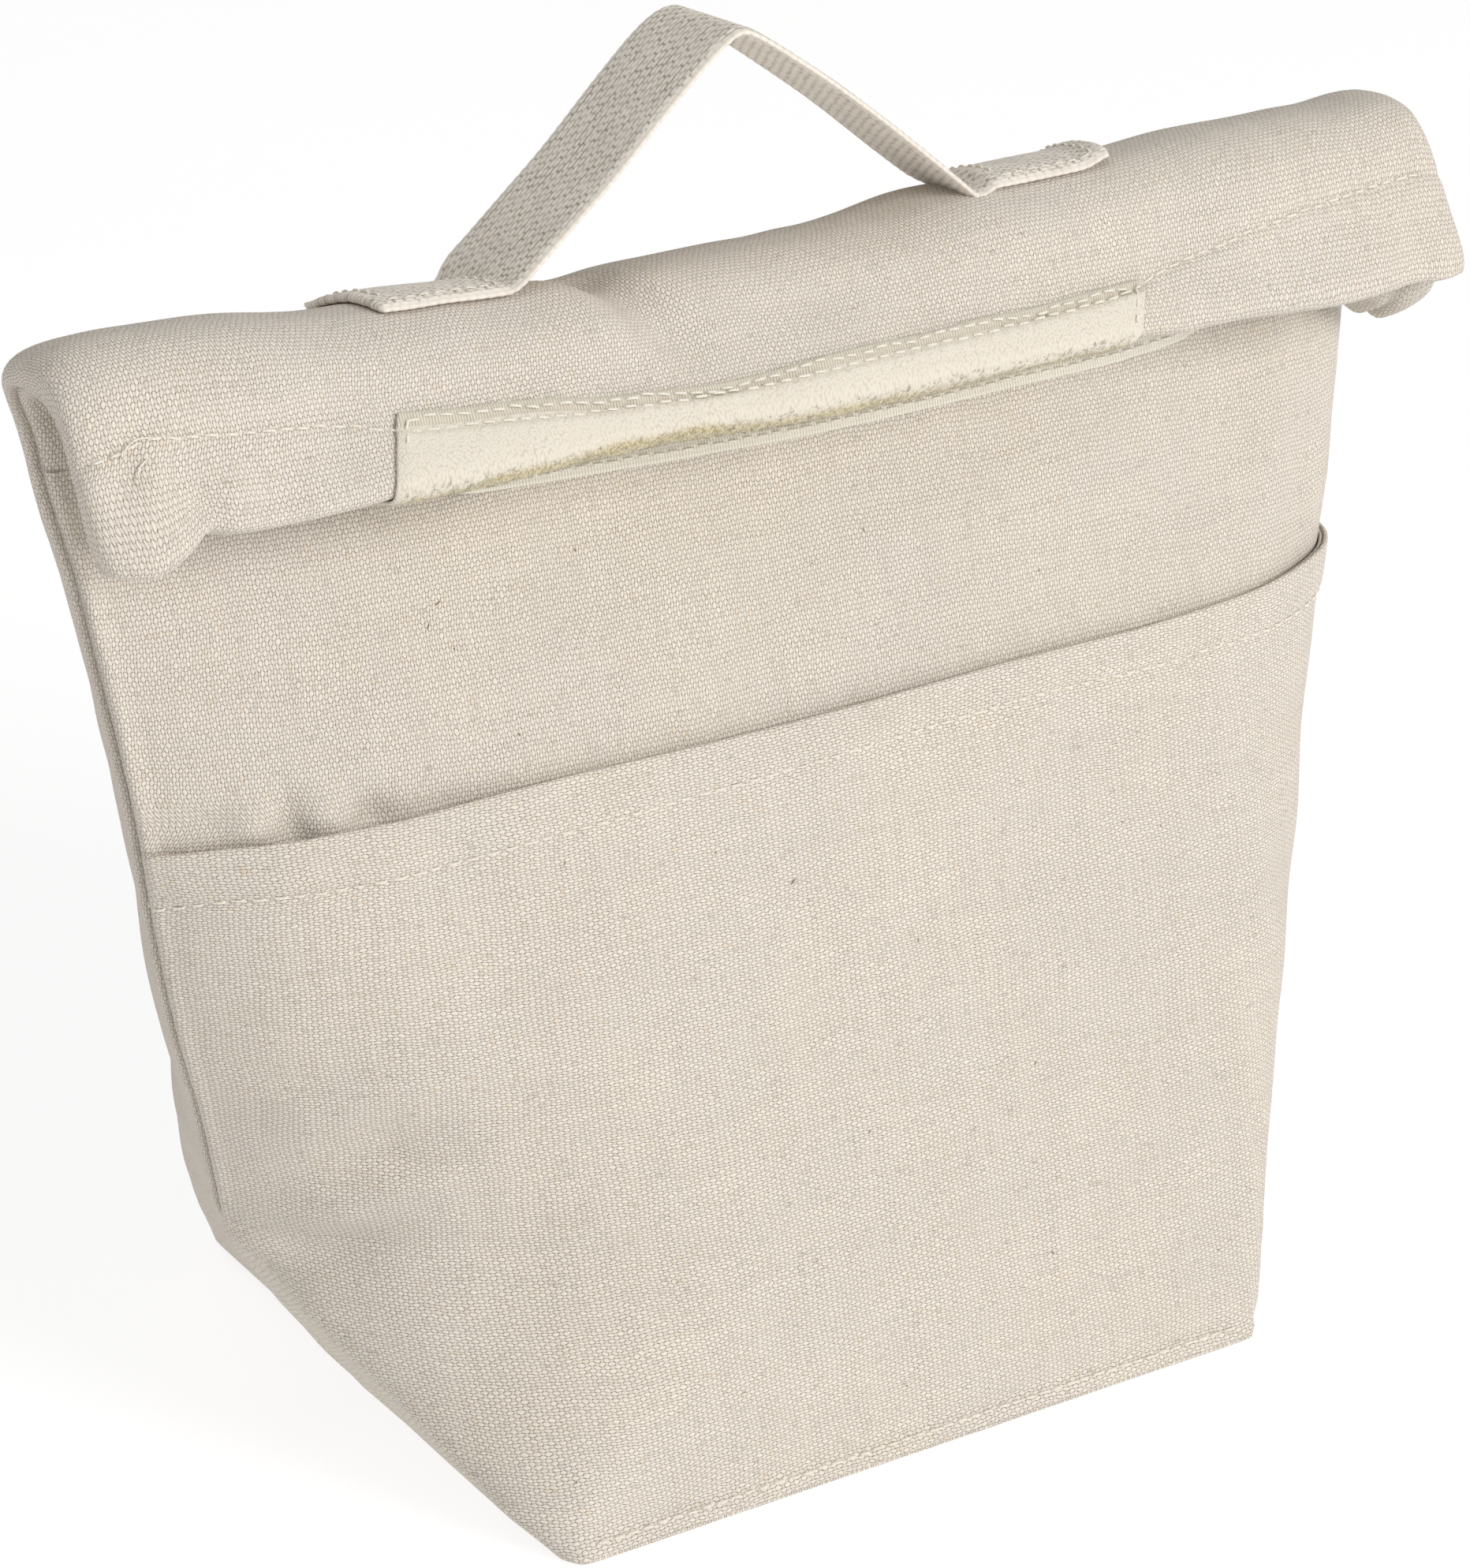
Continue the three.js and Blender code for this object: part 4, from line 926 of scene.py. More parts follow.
def skin(tau, x):
    """Points and outward normals of the roll's outer skin."""
    tau, x = np.broadcast_arrays(np.asarray(tau, float), np.asarray(x, float))
    tk = along(O_ALL[:, 4], tau)
    n = np.stack([along(NRM[:, 0], tau), along(NRM[:, 1], tau)], -1)
    y, z = along(O_ALL[:, 0], tau), along(O_ALL[:, 1], tau) + tk * rise(x)
    # the ends of the fold hang lower at the left
    st = np.interp(tau, TAU, TT)
    low = smooth((st - 13.0) / 2.0) * smooth((21.5 - st) / 2.5)
    ear = low * (4.5 * smooth((-141.5 - x) / 15.0) - 1.7 * np.exp(-((x + 142.2) / 3.0) ** 2) - 0.8 * smooth((x + 112) / 12) * smooth((86 - x) / 12))
    y, z = y - SN * ear, z - CS * ear
    # and the underside sags at the right end, behind the flap's edge
    y = y + set_back(st) * smooth((x - 118) / 25)
    z = z + droop(st) * (0.22 * smooth((x - 122) / 16) + 0.78 * smooth((x - 143) / 13)) + 2.4 * np.exp(-((x - 154.5) / 1.9) ** 2) * smooth((st - 17.4) / 0.8) * smooth((22.6 - st) / 1.0)
    r = roll_relief(tau, x)
    return np.stack([x, y + n[..., 0] * r, z + n[..., 1] * r], -1), np.stack([np.zeros_like(x), n[..., 0], n[..., 1]], -1)


def ring(side, us):
    """The tube's cross-section at the neck: place across, and share of the way from the outer skin to the inner one."""
    q = outline(SPLIT_Z, side)
    s = np.concatenate([[0], np.cumsum(np.hypot(*np.diff(q, axis=0).T))])
    d = (us + 1) / 2 * s[-1]
    x, y = np.interp(d, s, q[:, 0]), np.interp(d, s, q[:, 1])
    for _ in range(2):
        x[1:-1] = 0.25 * x[:-2] + 0.5 * x[1:-1] + 0.25 * x[2:]
        y[1:-1] = 0.25 * y[:-2] + 0.5 * y[1:-1] + 0.25 * y[2:]
    return x, (NECK_B - y) / (NECK_B + NECK_F)


def roll_grid(side, us, tau, inset=0.0):
    """The roll's cloth: tau is (rows, columns)."""
    x, q = ring(side, us)
    xl, xr = along(O_ALL[:, 2], tau), along(O_ALL[:, 3], tau)
    X = xl + (xr - xl) * (x / 159.8 + 1) / 2 * 1.0
    X = X * (1 - inset / 165.0)
    o, _ = skin(tau, X)
    i = np.stack([X, along(I_ALL[:, 0], tau), along(I_ALL[:, 1], tau) + 0.55 * along(O_ALL[:, 4], tau) * rise(X)], -1)
    # the inner skin is never pushed through the outer one
    gap = i - o
    L = np.linalg.norm(gap, axis=-1, keepdims=True)
    e = gap / np.maximum(L, 1e-6) * np.minimum(inset, 0.3 * L)
    o, i = o + e, i - e
    if side < 0:
        U = us * HALF_CLOTH
        i = i - (gap / np.maximum(L, 1e-6)) * (0.5 * (0.5 + 0.5 * wobble(U / 24, tau / 20, 71)) * smooth(tau / 20))[..., None]
    P = o + np.broadcast_to(q, tau.shape)[..., None] * (i - o)
    return P, X, (o - i) if side > 0 else (i - o)


def blend_top(tau, x):
    return np.interp(tau, TAU, np.interp(TT, np.arange(25), W_TOP))


def blend_flap(tau, x):
    end = np.minimum(hem_tau(x) - 0.4, tau_at(12.2))
    start = tau_at(8.0)
    t = np.clip((tau - start) / (end - start), 0, 1)
    return t * t * (3 - 2 * t)


def blend_mouth(tau, x):
    return np.interp(tau, TAU, np.interp(TT, np.arange(25), W_MOUTH))


BLENDS = {"top": blend_top, "flap": blend_flap, "mouth": blend_mouth}
T_A, T_END = tau_at(6.0), TAU[-1]
V0 = SPLIT_Z * COS_RUN


def roll_piece(name, side, part, us, pitch, mat, thick, inset=0.0, end=None):
    x, q = ring(side, us)
    xs = x / 159.8 * 163
    hem = hem_tau(xs) if side > 0 and not inset else np.full(len(us), tau_at(12.4))
    lo, hi = {"top": (np.zeros(len(us)), np.full(len(us), T_A)), "flap": (np.full(len(us), T_A), hem),
              "mouth": (hem, np.full(len(us), T_END if end is None else end))}[part]
    n = int(math.ceil((hi - lo).max() / pitch)) + 1
    k = np.linspace(0, 1, n)[:, None]
    tau = lo[None] + k * (hi - lo)[None]
    P, X, out = roll_grid(side, us, tau, inset)
    N = unit(np.cross(np.gradient(P, axis=0), np.gradient(P, axis=1)))
    sign = np.sign(np.median(np.sign((N * out).sum(-1))))
    N = N * sign
    if not inset:
        e = HALF_CLOTH - np.abs(us * HALF_CLOTH)
        far = smooth((tau - tau_at(4.5)) / (tau_at(7.0) - tau_at(4.5)))
        P = P + N * (seam_dip(us * HALF_CLOTH, 4.2, 0.6)[None] * smooth((tau + 8) / 16) * (1 - far))[..., None]
        N = unit(np.cross(np.gradient(P, axis=0), np.gradient(P, axis=1))) * sign
    th = np.full(tau.shape, thick)
    if part == "mouth" and not inset:
        th = th + 0.8 * smooth((tau - (T_END - 13)) / 2.0)
    # painted shade in the side seams' grooves near the neck, fading out over the top
    painted_shade = groove(us * HALF_CLOTH)[None] * (0.0 if inset else 1.0) * (1 - smooth((tau - tau_at(4.5)) / (tau_at(7.0) - tau_at(4.5))))
    if part == "mouth" and side > 0 and not inset:
        # painted shade in the crease under the flap's edge at the right end, and in the gap where the layers part
        st = np.interp(tau, TAU, TT)
        painted_shade = np.clip(painted_shade + smooth((X - 118) / 20) * (0.30 * np.exp(-((st - 18.0) / 0.4) ** 2) + 0.18 * smooth((st - 17.8) / 0.6) * smooth((22 - st) / 1.0))
                       + 0.6 * np.exp(-((X - 154.5) / 0.9) ** 2) * smooth((st - 17.7) / 0.4) * smooth((20.8 - st) / 0.8), 0, 1)
    return sheet(name, P, N, cloth_uv(P, V0 + tau), th, mat, weights=BLENDS[part](tau, X), steps=0, floats={"groove": painted_shade})


us_ro, us_ri, us_rl = spread_u(204), spread_u(112), np.linspace(-0.985, 0.985, 70)
roll = {}
for side, tag, us, pitch, mat in ((1, "outer", us_ro, 1.45, CANVAS_R), (-1, "inner", us_ri, 2.2, CANVAS_I)):
    for part in ("top", "flap", "mouth"):
        roll[part, tag] = roll_piece(f"roll_{part}_{tag}_canvas", side, part, us, pitch, mat, 1.1)
        roll[part, "lining_" + tag] = roll_piece(f"roll_{part}_lining_{tag}_film", side, part, us_rl, 3.5, FOIL, 0.5, inset=2.2, end=T_END - 13.5)

# ---- hem stitches, and the loop tape with its own
TAPE_L, TAPE_R = -99.0, 78.0


def on_tape(x):
    return smooth((x - TAPE_L - 0.5) / 1.5) * smooth((TAPE_R - 0.5 - x) / 1.5)


xs = np.linspace(-163.5, 160.0, 1600)
hp, hn = skin(hem_tau(xs), xs)
hem_stitch = stitches("mouth_hem_stitches", hp + hn * (1.25 * on_tape(xs))[:, None], hn, THREAD, pitch=4.0, share=0.80, r=0.30, lift=0.42, seed=21, stray=0.22)

rows_t = np.concatenate([np.linspace(0, 0.07, 8)[:-1], np.linspace(0.07, 0.42, 40)[:-1], np.linspace(0.42, 1.0, 42)])
cs = np.linspace(0, 1, 236)
tape_end = tau_at(23.3)
R, C = np.meshgrid(rows_t, cs, indexing="ij")
base_x = TAPE_L + C * (TAPE_R - TAPE_L)
t0 = tau_of_s(tape_s(base_x))
tau = t0 + R * (tape_end - t0)
down = tau - t0
lean = 0.34 * np.minimum(down, 15) * (0.9 + 0.1 * C)
X = base_x - lean
N0 = skin(tau, X)[1]
pile = smooth((down - 2.3) / 0.8)
edge = smooth(C * 177 / 2.0) * smooth((1 - C) * 177 / 2.0)
rs = np.random.RandomState(5)
tuft = 0.5 * wobble(X / 1.3, tau / 1.2, 81) + 0.35 * wobble(X / 2.7, tau / 2.3, 82)
t_low = tau_of_s(29.7 + 0.35 * wobble(X / 9, 0 * X, 84) - 1.1 * np.exp(-((X + 45) / 26) ** 2) + 1.2 * smooth((X - 5) / 50) + 0.7 * smooth((-78 - X) / 20))
low_band = smooth((tau - t_low) / 1.6)
face = 0.95 + pile * edge * (0.35 + (0.08 + 0.22 * low_band) * tuft + 0.12 * low_band * (rs.rand(*X.shape) - 0.5)) + (1 - pile) * 0.07 * np.sin(X * 2 * np.pi / 1.6) + 0.15 * wobble(X / 9, tau / 6, 83)
Pt = skin(tau, X)[0] + N0 * face[..., None]
Nt = unit(np.cross(np.gradient(Pt, axis=0), np.gradient(Pt, axis=1)))
Nt = Nt * np.sign(np.median(np.sign((Nt * N0).sum(-1))))
# low marks where the tape turns under; the pile's colour is darkened there as painted shade
loop_tape = sheet("loop_tape_strip", Pt, unit(Nt + 3 * N0), np.stack([X, down], -1), 0.75, LOOP, weights=blend_mouth(tau, X), steps=2, floats={"low": low_band * edge})
# the tape's own stitches, along its top edge and down its ends
xs = np.linspace(TAPE_L + 1.2, TAPE_R - 1.2, 900)
tp, tn = skin(tau_of_s(tape_s(xs)) + 1.05 + 0.35 * np.sin(xs / 6.1) + 0.2 * np.sin(xs / 2.3), xs - 0.35)
tape_stitch = stitches("loop_tape_stitches", tp + tn * 0.98, tn, THREAD, pitch=3.7, share=0.84, r=0.31, lift=0.44, seed=22, stray=0.3)
ends = []
for k, x0 in enumerate((TAPE_L + 1.6, TAPE_R - 2.0)):
    d = np.linspace(1.0, 11.0, 60)
    x = x0 - 0.34 * d
    tp, tn = skin(tau_of_s(tape_s(np.full_like(d, x0))) + d, x)
    ends.append(stitches(f"loop_tape_end_stitches_{k}", tp + tn * 1.12, tn, THREAD, pitch=3.2, share=0.82, r=0.28, lift=0.3, seed=24 + k))
# loose pile where the tape turns under
rs = np.random.RandomState(9)
fibres, fw = [], []
for k in range(1300):
    x = TAPE_L - 3 + rs.rand() * (TAPE_R - TAPE_L)
    t_ = float(tau_of_s(29.4)) + 5.5 * rs.rand()
    a = rs.rand() * 6.283
    ln = 0.35 + 0.45 * rs.rand()
    d = t_ - float(tau_of_s(tape_s(np.array(min(max(x + 3.5, TAPE_L + 1), TAPE_R - 1)))))
    if d < 3.2 or x < TAPE_L - 0.34 * min(d, 15) + 1.5 or x > TAPE_R - 0.34 * min(d, 15) - 1.5:
        continue
    s_ = np.linspace(0, 1, 5)
    tt_ = t_ + math.sin(a) * ln * (s_ - 0.5) * 1.3
    p, n = skin(tt_, x + math.cos(a) * ln * (s_ - 0.5) * 1.3)
    arc = 1.15 + (0.25 + 0.35 * rs.rand()) * np.sin(s_ * math.pi)
    fibres.append(p + n * arc[:, None]); fw.append(blend_mouth(tt_, x))
loop_pile_fibres = threads("loop_tape_fibres", fibres, 0.06, LOOP, sides=4)

# ---- hook tape on the front panel
hook_low = table([(-78, 209.3), (-73.5, 208.9), (-53, 207.9), (-34, 207.2), (-6, 206.4), (4, 206.2), (60, 206.9), (95, 208.0), (107, 209.4), (113.5, 211.5)])


def front_at(x, z):
    """Points and normals of the front panel by x and z."""
    x, z = np.broadcast_arrays(np.asarray(x, float), np.asarray(z, float))
    ri = np.interp(z, zs_f, np.arange(len(zs_f)))
    i = np.clip(ri.astype(int), 0, len(zs_f) - 2)
    a = (ri - i)[..., None]
    p, n = np.zeros(x.shape + (3,)), np.zeros(x.shape + (3,))
    for idx in np.ndindex(x.shape):
        k = i[idx]
        row = Pf[k] * (1 - a[idx]) + Pf[k + 1] * a[idx]
        rn = Nf[k] * (1 - a[idx]) + Nf[k + 1] * a[idx]
        for c in range(3):
            p[idx + (c,)] = np.interp(x[idx], row[:, 0], row[:, c])
            n[idx + (c,)] = np.interp(x[idx], row[:, 0], rn[:, c])
    return p, unit(n)


hx, hr = np.linspace(-76, 112.5, 110), np.concatenate([np.linspace(0, 0.25, 6)[:-1], np.linspace(0.25, 1, 10)])
HX, HR = np.meshgrid(hx, hr)
HZ = hook_low(HX) + HR * 16.0
ph, nh = front_at(HX, HZ)
free = smooth((-64 - HX) / 12.0)
off = 1.0 + 0.12 * np.sin(HX * 2 * np.pi / 1.4) * (HR < 0.2) + 0.2 * wobble(HX / 8, HZ / 6, 91) + 3.0 * free * (1 - 0.7 * HR)
Ph2 = ph + nh * off[..., None]
Nh2 = unit(np.cross(np.gradient(Ph2, axis=0), np.gradient(Ph2, axis=1)))
Nh2 = Nh2 * np.sign(np.median(np.sign((Nh2 * nh).sum(-1))))
hook_tape = sheet("hook_tape_strip", Ph2, Nh2, np.stack([HX, HR * 16], -1), 0.8, HOOK)
xs = np.linspace(-62, 111, 500)
p, n = front_at(xs, hook_low(xs) + 1.5)
hook_stitch = stitches("hook_tape_stitches", p + n * 1.05, n, THREAD, pitch=3.6, share=0.8, r=0.26, lift=0.28, seed=27)

# ------------------------------------------------------------------ the handle
def top_z(x, y):
    """Height of the roll's top at a place, by its outer skin."""
    t = np.linspace(tau_at(4.3), tau_at(10.6), 120)
    x, y = np.broadcast_arrays(np.asarray(x, float), np.asarray(y, float))
    r = np.zeros(x.shape)
    for idx in np.ndindex(x.shape):
        p, _ = skin(t, np.full_like(t, x[idx]))
        r[idx] = np.interp(-y[idx], -p[:, 1], p[:, 2])
    return r


NA = float("nan")
STRAP = [  # front edge x, z; back edge x, z; nan lies on the roll
    (-97, NA, -100.5, NA), (-90, NA, -92, NA), (-83, NA, -85, NA), (-77, NA, -79, NA), (-72.5, NA, -74.5, NA), (-69.3, NA, -71.6, NA), (-66.4, 254.0, -68.6, 252.2), (-62.4, 257.4, -63.8, 256.4),
    (-54.6, 264.2, -55.6, 263.6), (-45, 272.5, -46, 272.1), (-33.6, 283.6, -34.4, 283.7), (-25.4, 291.2, -26.2, 291.5), (-19.8, 295.8, -20.9, 295.4), (-15.4, 298.0, -16.4, 296.8),
    (-11.4, 296.4, -12.6, 294.8), (-5.2, 292.4, -6.4, 290.6), (6, 284.6, 4.8, 282.8), (19, 274.6, 17.8, 273.2), (31.5, 264.4, 30.6, 262.8), (39.8, 257.4, 39.4, 255.8), (44.0, 254.2, 44.2, 252.4),
    (48.4, NA, 49.2, NA), (54, NA, 55.5, NA), (61, NA, 63, NA), (69, NA, 71, NA), (77, NA, 80, NA)]
ST_T, Y_F, Y_B = 1.9, -15.0, 10.0
front_line, back_line = [], []
for fx, fz, bx_, bz_ in STRAP:
    fx, fz, bx_, bz_ = fx + 3.5, fz - 2.2, bx_ + 3.5, bz_ - 2.2
    front_line.append((fx, fz if fz == fz else float(top_z(fx, Y_F)) + 0.35 + ST_T / 2))
    back_line.append((bx_, bz_ if bz_ == bz_ else float(top_z(bx_, Y_B)) + 0.35 + ST_T / 2))
f_at = table([(k,) + p for k, p in enumerate(front_line)])
b_at = table([(k,) + p for k, p in enumerate(back_line)])
kk = np.linspace(0, len(STRAP) - 1, 3000)
mid = (f_at(kk) + b_at(kk)) / 2
run = np.concatenate([[0], np.cumsum(np.hypot(*np.diff(mid, axis=0).T))])
L = run[-1]
us_s = np.arange(0, L, 0.5)
k_s = np.interp(us_s, run, kk)
F, B = f_at(k_s), b_at(k_s)
nw = 84
w = np.linspace(0, 1, nw)
scal = 0.05 * np.sin(us_s * 2 * np.pi / 2.2)
wy = Y_F + w[None] * (Y_B - Y_F) + (np.maximum(w[None] - 0.955, 0) - np.maximum(0.045 - w[None], 0)) / 0.045 * scal[:, None]
Ps = np.zeros((len(us_s), nw, 3))
Ps[..., 0] = F[:, None, 0] + (B - F)[:, None, 0] * w[None]
Ps[..., 2] = F[:, None, 1] + (B - F)[:, None, 1] * w[None]
Ps[..., 1] = wy
# the tabs lie on the curve of the roll
tabs = np.concatenate([np.nonzero(us_s < np.interp(5.2, kk, run))[0], np.nonzero(us_s > np.interp(20.9, kk, run))[0]])
gy_, gx_ = np.linspace(Y_F - 0.5, Y_B + 0.5, 15), np.concatenate([np.linspace(-101, -58, 14), np.linspace(43, 88, 14)])
TZ = top_z(gx_[:, None], gy_[None])
for r_ in tabs:
    for c_ in range(nw):
        x, y = Ps[r_, c_, 0], Ps[r_, c_, 1]
        col = np.array([np.interp(x, gx_, TZ[:, m]) for m in (int(np.clip((y - gy_[0]) / (gy_[1] - gy_[0]), 0, 13)), int(np.clip((y - gy_[0]) / (gy_[1] - gy_[0]), 0, 13)) + 1)])
        f_ = (y - gy_[0]) / (gy_[1] - gy_[0]); f_ = f_ - math.floor(f_)
        Ps[r_, c_, 2] = col[0] * (1 - f_) + col[1] * f_ + 0.35 + ST_T / 2
lift = smooth((us_s - (L - 9)) / 9) ** 2
Ps[..., 2] += 1.6 * lift[:, None] * (1 - 0.6 * w[None])
for _ in range(6):
    Ps[1:-1, :, ::2] = 0.25 * Ps[:-2, :, ::2] + 0.5 * Ps[1:-1, :, ::2] + 0.25 * Ps[2:, :, ::2]
Ns = unit(np.cross(np.gradient(Ps, axis=0), np.gradient(Ps, axis=1)))
if Ns[30, nw // 2, 2] < 0:
    Ns = -Ns
rs = np.random.RandomState(31)
UU, VV = np.meshgrid(us_s, w * 25.0, indexing="ij")


def twill(U, V, seed):
    """Height of the webbing's weave: ribs along it, each a row of long grains, stepped from rib to rib."""
    g = np.random.RandomState(seed)
    V2 = V + 0.16 * wobble(U / 7, V / 5, seed + 1)
    rib = np.floor(V2 / 1.04).astype(int)
    fv = V2 / 1.04 - rib
    jitter = g.rand(40)
    f = U / 2.3 + rib * 0.34 + 0.12 * jitter[np.clip(rib, 0, 39)] + 0.10 * wobble(U / 4, rib * 1.0, seed + 2)
    fu = f - np.floor(f)
    grain = g.rand(97)[(np.floor(f).astype(int) * 13 + rib * 7) % 97]
    h = np.sqrt(np.clip(1 - (2 * fv - 1) ** 2, 0, 1)) * np.clip(np.sin(np.pi * fu), 0, 1) ** 0.55
    return h * (0.82 + 0.36 * grain)


edge = smooth(VV / 1.2) * smooth((25.0 - VV) / 1.2)
up, dn = twill(UU, VV, 33), twill(UU + 1.1, 25.0 - VV, 35)
sel = 0.70 + 0.13 * np.sin(UU * 2 * np.pi / 2.2)
up, dn = up * edge + (1 - edge) * sel, dn * edge + (1 - edge) * sel
roundoff = 0.45 * (1 - smooth(np.minimum(VV, 25 - VV) / 1.4))
Po = Ps + Ns * (ST_T / 2 - 0.15 + 0.19 * up - roundoff)[..., None]
strap = sheet("carry_handle_webbing", Po, Ns, np.stack([UU, VV], -1), ST_T - 0.3 + 0.19 * up + 0.19 * dn - 2 * roundoff, WEBBING,
              weights=np.where(True, smooth((Ps[..., 2] - 256.5) / 22.0), 0), floats={"hollow": (np.clip(up, 0, 1), np.clip(dn, 0, 1))}, steps=3)
# box of stitches on each tab
tab_stitches = []
for k, (a, b) in enumerate(((2.5, np.interp(4.6, kk, run)), (np.interp(21.4, kk, run), L - 2.5))):
    i0, i1 = int(a / 0.5), int(b / 0.5)
    c0, c1 = 7, nw - 8
    loop = ([(i, c0) for i in range(i0, i1)] + [(i1, c) for c in range(c0, c1)] + [(i, c1) for i in range(i1, i0, -1)] + [(i0, c) for c in range(c1, c0, -1)])
    P_ = np.array([Ps[i, c] + Ns[i, c] * (ST_T / 2 + 0.10) for i, c in loop]); N_ = np.array([Ns[i, c] for i, c in loop])
    tab_stitches.append(stitches(f"handle_tab_stitches_{k}", P_, N_, THREAD, pitch=3.4, share=0.8, r=0.24, lift=0.12, seed=41 + k))

# ------------------------------------------------------------------ loose thread ends and flecks
rs = np.random.RandomState(77)


def tail(tau0, x0, dirs, length, seed):
    g = np.random.RandomState(seed)
    s_ = np.linspace(0, 1, 14)
    a = dirs + 0.7 * np.sin(s_ * 3.0 + g.rand() * 3)
    dx, dt = np.cumsum(np.cos(a)) * length / 14, np.cumsum(np.sin(a)) * length / 14
    p, n = skin(tau0 + dt, x0 + dx)
    return p + n * (0.35 + 0.9 * np.sin(s_ * math.pi) * g.rand() + 0.5 * s_)[:, None]


tails = threads("loose_thread_ends", [tail(float(hem_tau(-150.0)), -150, 2.6, 9, 1), tail(float(hem_tau(-151.0)) + 3, -152, 2.0, 7, 2)], 0.17, THREAD)


def specks(name, places, surf, mat, seed):
    g = np.random.RandomState(seed)
    paths = []
    for (a, b, ln) in places:
        ang = g.rand() * 6.283
        s_ = np.linspace(-0.5, 0.5, 5) * ln
        p, n = surf(a + np.cos(ang) * s_, b + np.sin(ang) * s_)
        paths.append(p + n * 0.02)
    return threads(name, paths, 0.14, mat, sides=5)


g = np.random.RandomState(101)
front_places = [(-131 + 262 * g.rand(), 158 + 40 * g.rand(), 0.5 + 1.3 * g.rand() ** 3) for _ in range(7)] + [(18.0, 185.0, 1.0)]
front_specks = specks("front_panel_flecks", front_places, front_at, HUSK, 102)


def pocket_at(x, z):
    x, z = np.broadcast_arrays(np.asarray(x, float), np.asarray(z, float))
    c = np.interp(x, Pp[30, :, 0], np.arange(len(us_p)))
    r = np.array([np.interp(z[k], Zp[:, int(round(c[k]))], np.arange(len(rows))) for k in range(len(x))])
    return on_grid(Pp, Np, r, c)


pocket_places = [(-100 + 200 * g.rand(), 8 + 128 * g.rand(), 0.5 + 1.4 * g.rand() ** 3) for _ in range(16)] + [(42.0, 31.0, 1.1)]
pocket_specks = specks("pocket_flecks", pocket_places, pocket_at, HUSK, 103)
roll_places = [(tau_at(7) + 34 * g.rand(), -150 + 300 * g.rand(), 0.5 + 1.0 * g.rand() ** 3) for _ in range(14)]

# ------------------------------------------------------------------ bodies, and the frame's parts that each piece takes the place of
BAG, TOP, FLAP, MOUTH, HANDLE = "bag", "roll_top", "roll_flap", "roll_mouth", "handle"
for ob, nodes, slot in ((canvas_front, ["canvas_front"], "canvas"), (canvas_back, ["canvas_back"], "canvas"), (canvas_base, ["canvas_base"], "canvas"),
                        (front_pocket, ["front_pocket"], "canvas"), (pocket_hem, [], "canvas"), (pocket_stitch, ["pocket_hem_thread"], "thread"),
                        (base_stitch_f, ["base_thread_front"], "thread"), (base_stitch_b, ["base_thread_back"], "thread"),
                        (foam_front, ["foam_front"], "foam"), (foam_back, ["foam_back"], "foam"), (foam_base, ["foam_base"], "foam"),
                        (lining_front, ["lining_front"], "foil"), (lining_back, ["lining_back"], "foil"), (lining_base, ["lining_base"], "foil"),
                        (hook_tape, ["hook_tape"], "hook"), (hook_stitch, [], "thread"), (front_specks, [], "canvas"), (pocket_specks, [], "canvas")):
    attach(ob, BAG)
    if nodes:
        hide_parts(*nodes)

JOIN = {"top": (BAG, TOP, (0, 0.0116, 0.240), (0, -0.002, 0.253)), "flap": (TOP, FLAP, (0, -0.013, 0.253), (0, -0.0287, 0.2389)),
        "mouth": (FLAP, MOUTH, (0, -0.0369, 0.2249), (0, -0.0134, 0.2116))}
NODE = {"top": "roll_top", "flap": "flap", "mouth": "mouth"}
for (part, tag), ob in roll.items():
    bend(ob, *JOIN[part])
    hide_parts(f"{NODE[part]}_{tag}")
bend(loop_tape, *JOIN["mouth"]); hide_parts("loop_tape_front", "loop_tape_back")
bend(loop_pile_fibres, *JOIN["mouth"])
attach(hem_stitch, FLAP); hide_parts("mouth_hem_thread")
for ob in [tape_stitch, tails] + ends:
    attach(ob, FLAP)
bend(strap, TOP, HANDLE, (0, 0, 0.2565), (0, 0, 0.2785))
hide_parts("handle_loop", "handle_tab_left", "handle_tab_right")
for ob in tab_stitches:
    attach(ob, TOP)


def face_area(ob):
    """Half the surface of a closed sheet, in square metres."""
    me = ob.data
    a = np.zeros(len(me.polygons), np.float32)
    me.polygons.foreach_get("area", a)
    return float(a.sum()) / 2


W_CUT = 2 * HALF_CLOTH * MM
min(face_area(canvas_front), 0.238 * W_CUT)
min(face_area(canvas_back), 0.238 * W_CUT)
min(face_area(front_pocket), 0.162 * W_CUT)
for ob, nm in ((lining_front, foam_front), (lining_back, foam_back)):
    min(face_area(ob), 0.33 * 0.232)
for (part, tag), ob in roll.items():
    a = face_area(ob)
face_area(loop_tape) / 0.177

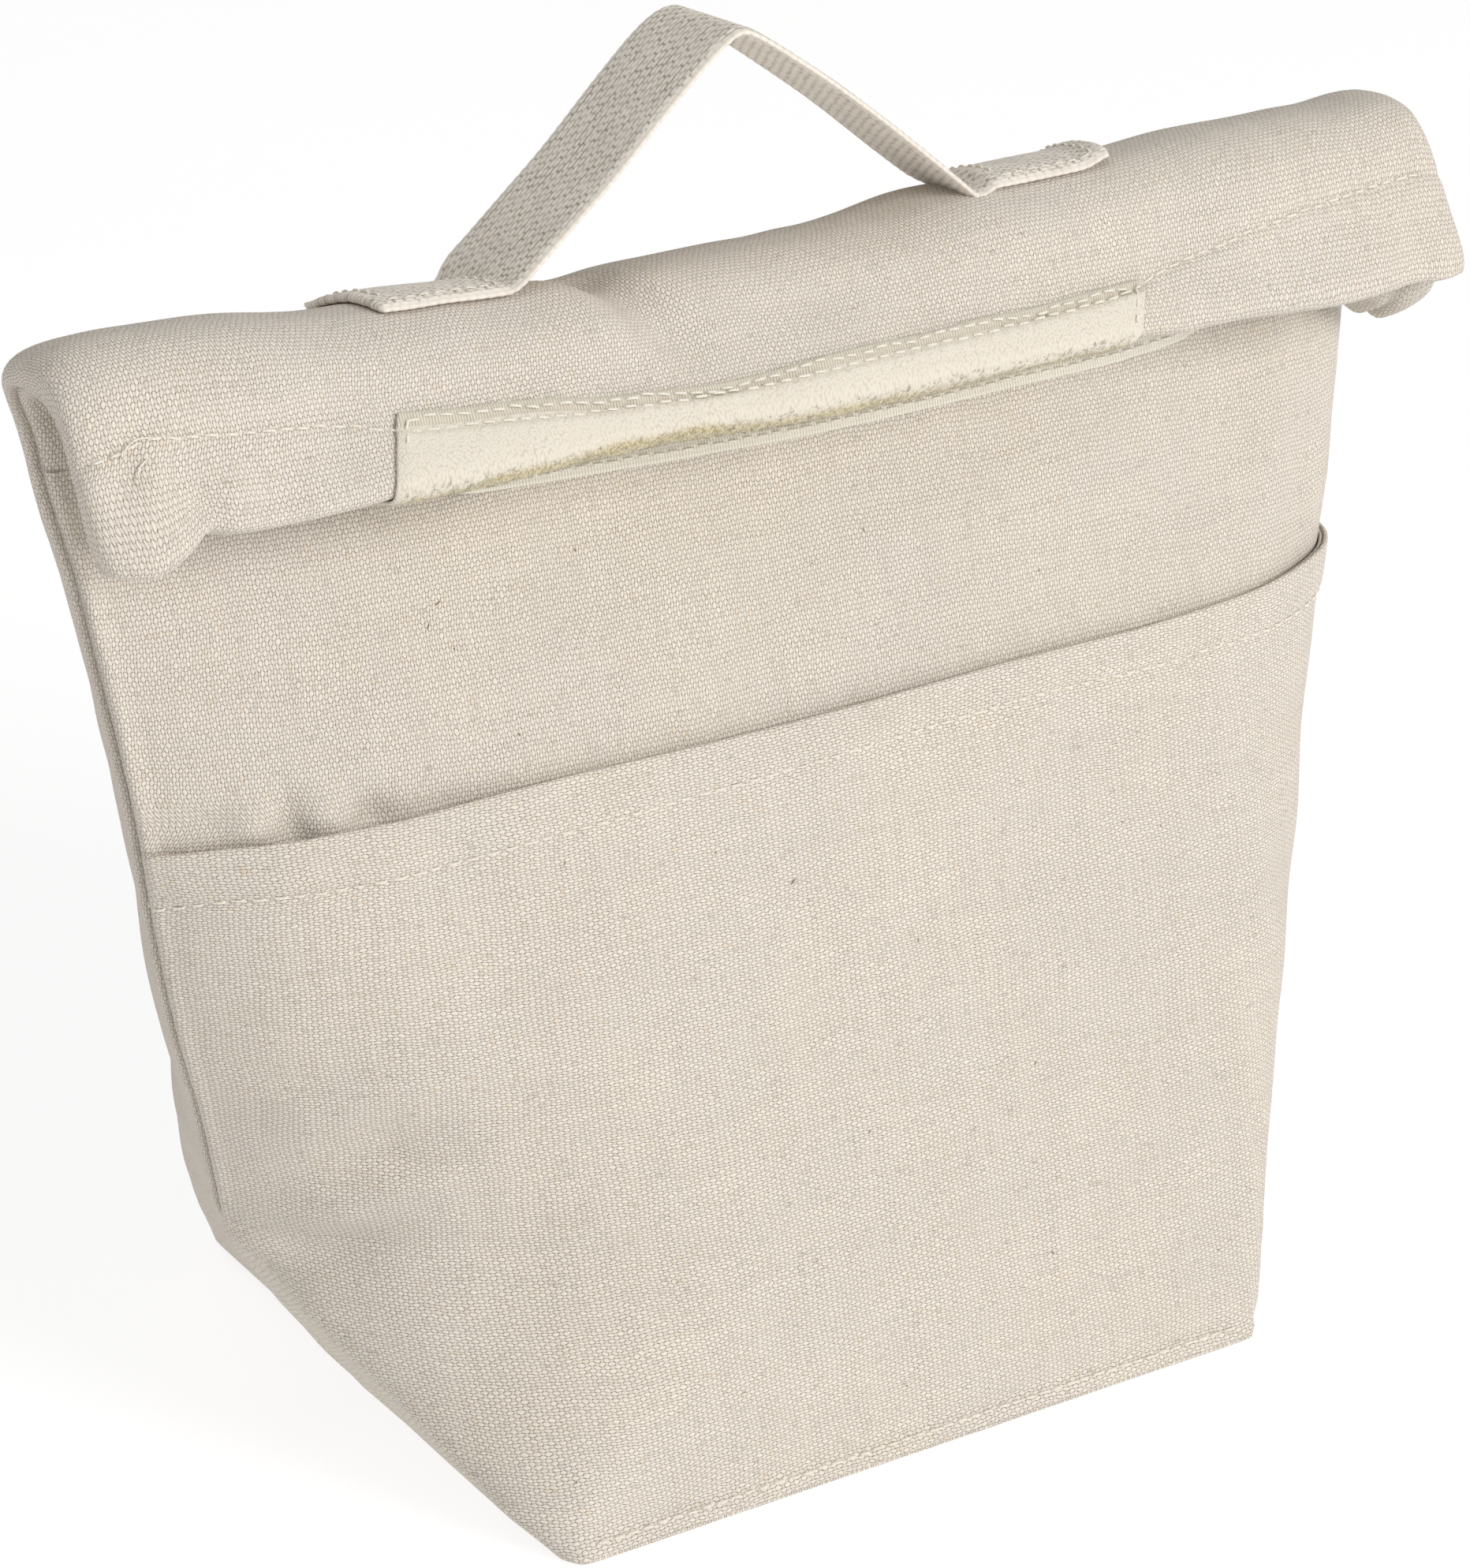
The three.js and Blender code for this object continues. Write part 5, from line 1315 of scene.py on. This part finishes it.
# ------------------------------------------------------------------ floor, light and camera
bpy.ops.mesh.primitive_plane_add(size=14, location=(0, 0, -0.0004))
floor = bpy.context.object
floor.name = "studio_floor"
floor.data.materials.append(pale_floor("studio_floor_pale"))


def area_light(name, at, look, size, power, colour=(1, 1, 1)):
    d = bpy.data.lights.new(name, "AREA")
    d.shape, d.size, d.energy, d.color = "DISK", size, power, colour
    o = bpy.data.objects.new(name, d)
    bpy.context.scene.collection.objects.link(o)
    o.location = at
    o.rotation_euler = (Vector(look) - Vector(at)).to_track_quat("-Z", "Y").to_euler()
    return o


area_light("key_soft", (1.15, -2.74, 1.55), (0, 0, 0.12), 1.7, 72.0, (1.0, 0.997, 0.992))
area_light("top_soft", (-1.2, -0.3, 2.3), (0, 0, 0.12), 1.8, 10.0, (1.0, 0.997, 0.992))
world = bpy.data.worlds.new("studio_white")
bpy.context.scene.world = world
world.use_nodes = True
world.node_tree.nodes["Background"].inputs[0].default_value = (1, 1, 1, 1)
world.node_tree.nodes["Background"].inputs[1].default_value = 0.41

az, el, ro = math.radians(-33.47), math.radians(24.82), math.radians(1.14)
back = Vector((math.sin(az) * math.cos(el), -math.cos(az) * math.cos(el), math.sin(el)))
right = (-back).cross(Vector((0, 0, 1))).normalized()
upv = right.cross(-back)
Rv, Uv = right * math.cos(ro) + upv * math.sin(ro), -right * math.sin(ro) + upv * math.cos(ro)
cam = bpy.data.cameras.new("photo_camera")
cam.sensor_fit, cam.sensor_width = "AUTO", 36.0
cam.lens = 6457.6 / 1988 * 36.0
cam.clip_start, cam.clip_end = 0.01, 100
cam_ob = bpy.data.objects.new("photo_camera", cam)
bpy.context.scene.collection.objects.link(cam_ob)
place = (Rv * 2.01 + Uv * 112.11 + back * 1146.26) * MM
cam_ob.matrix_world = Matrix(((Rv.x, Uv.x, back.x, place.x), (Rv.y, Uv.y, back.y, place.y), (Rv.z, Uv.z, back.z, place.z), (0, 0, 0, 1)))
bpy.context.scene.camera = cam_ob
bpy.context.scene.view_settings.view_transform = "Standard"

bpy.context.view_layer.update()
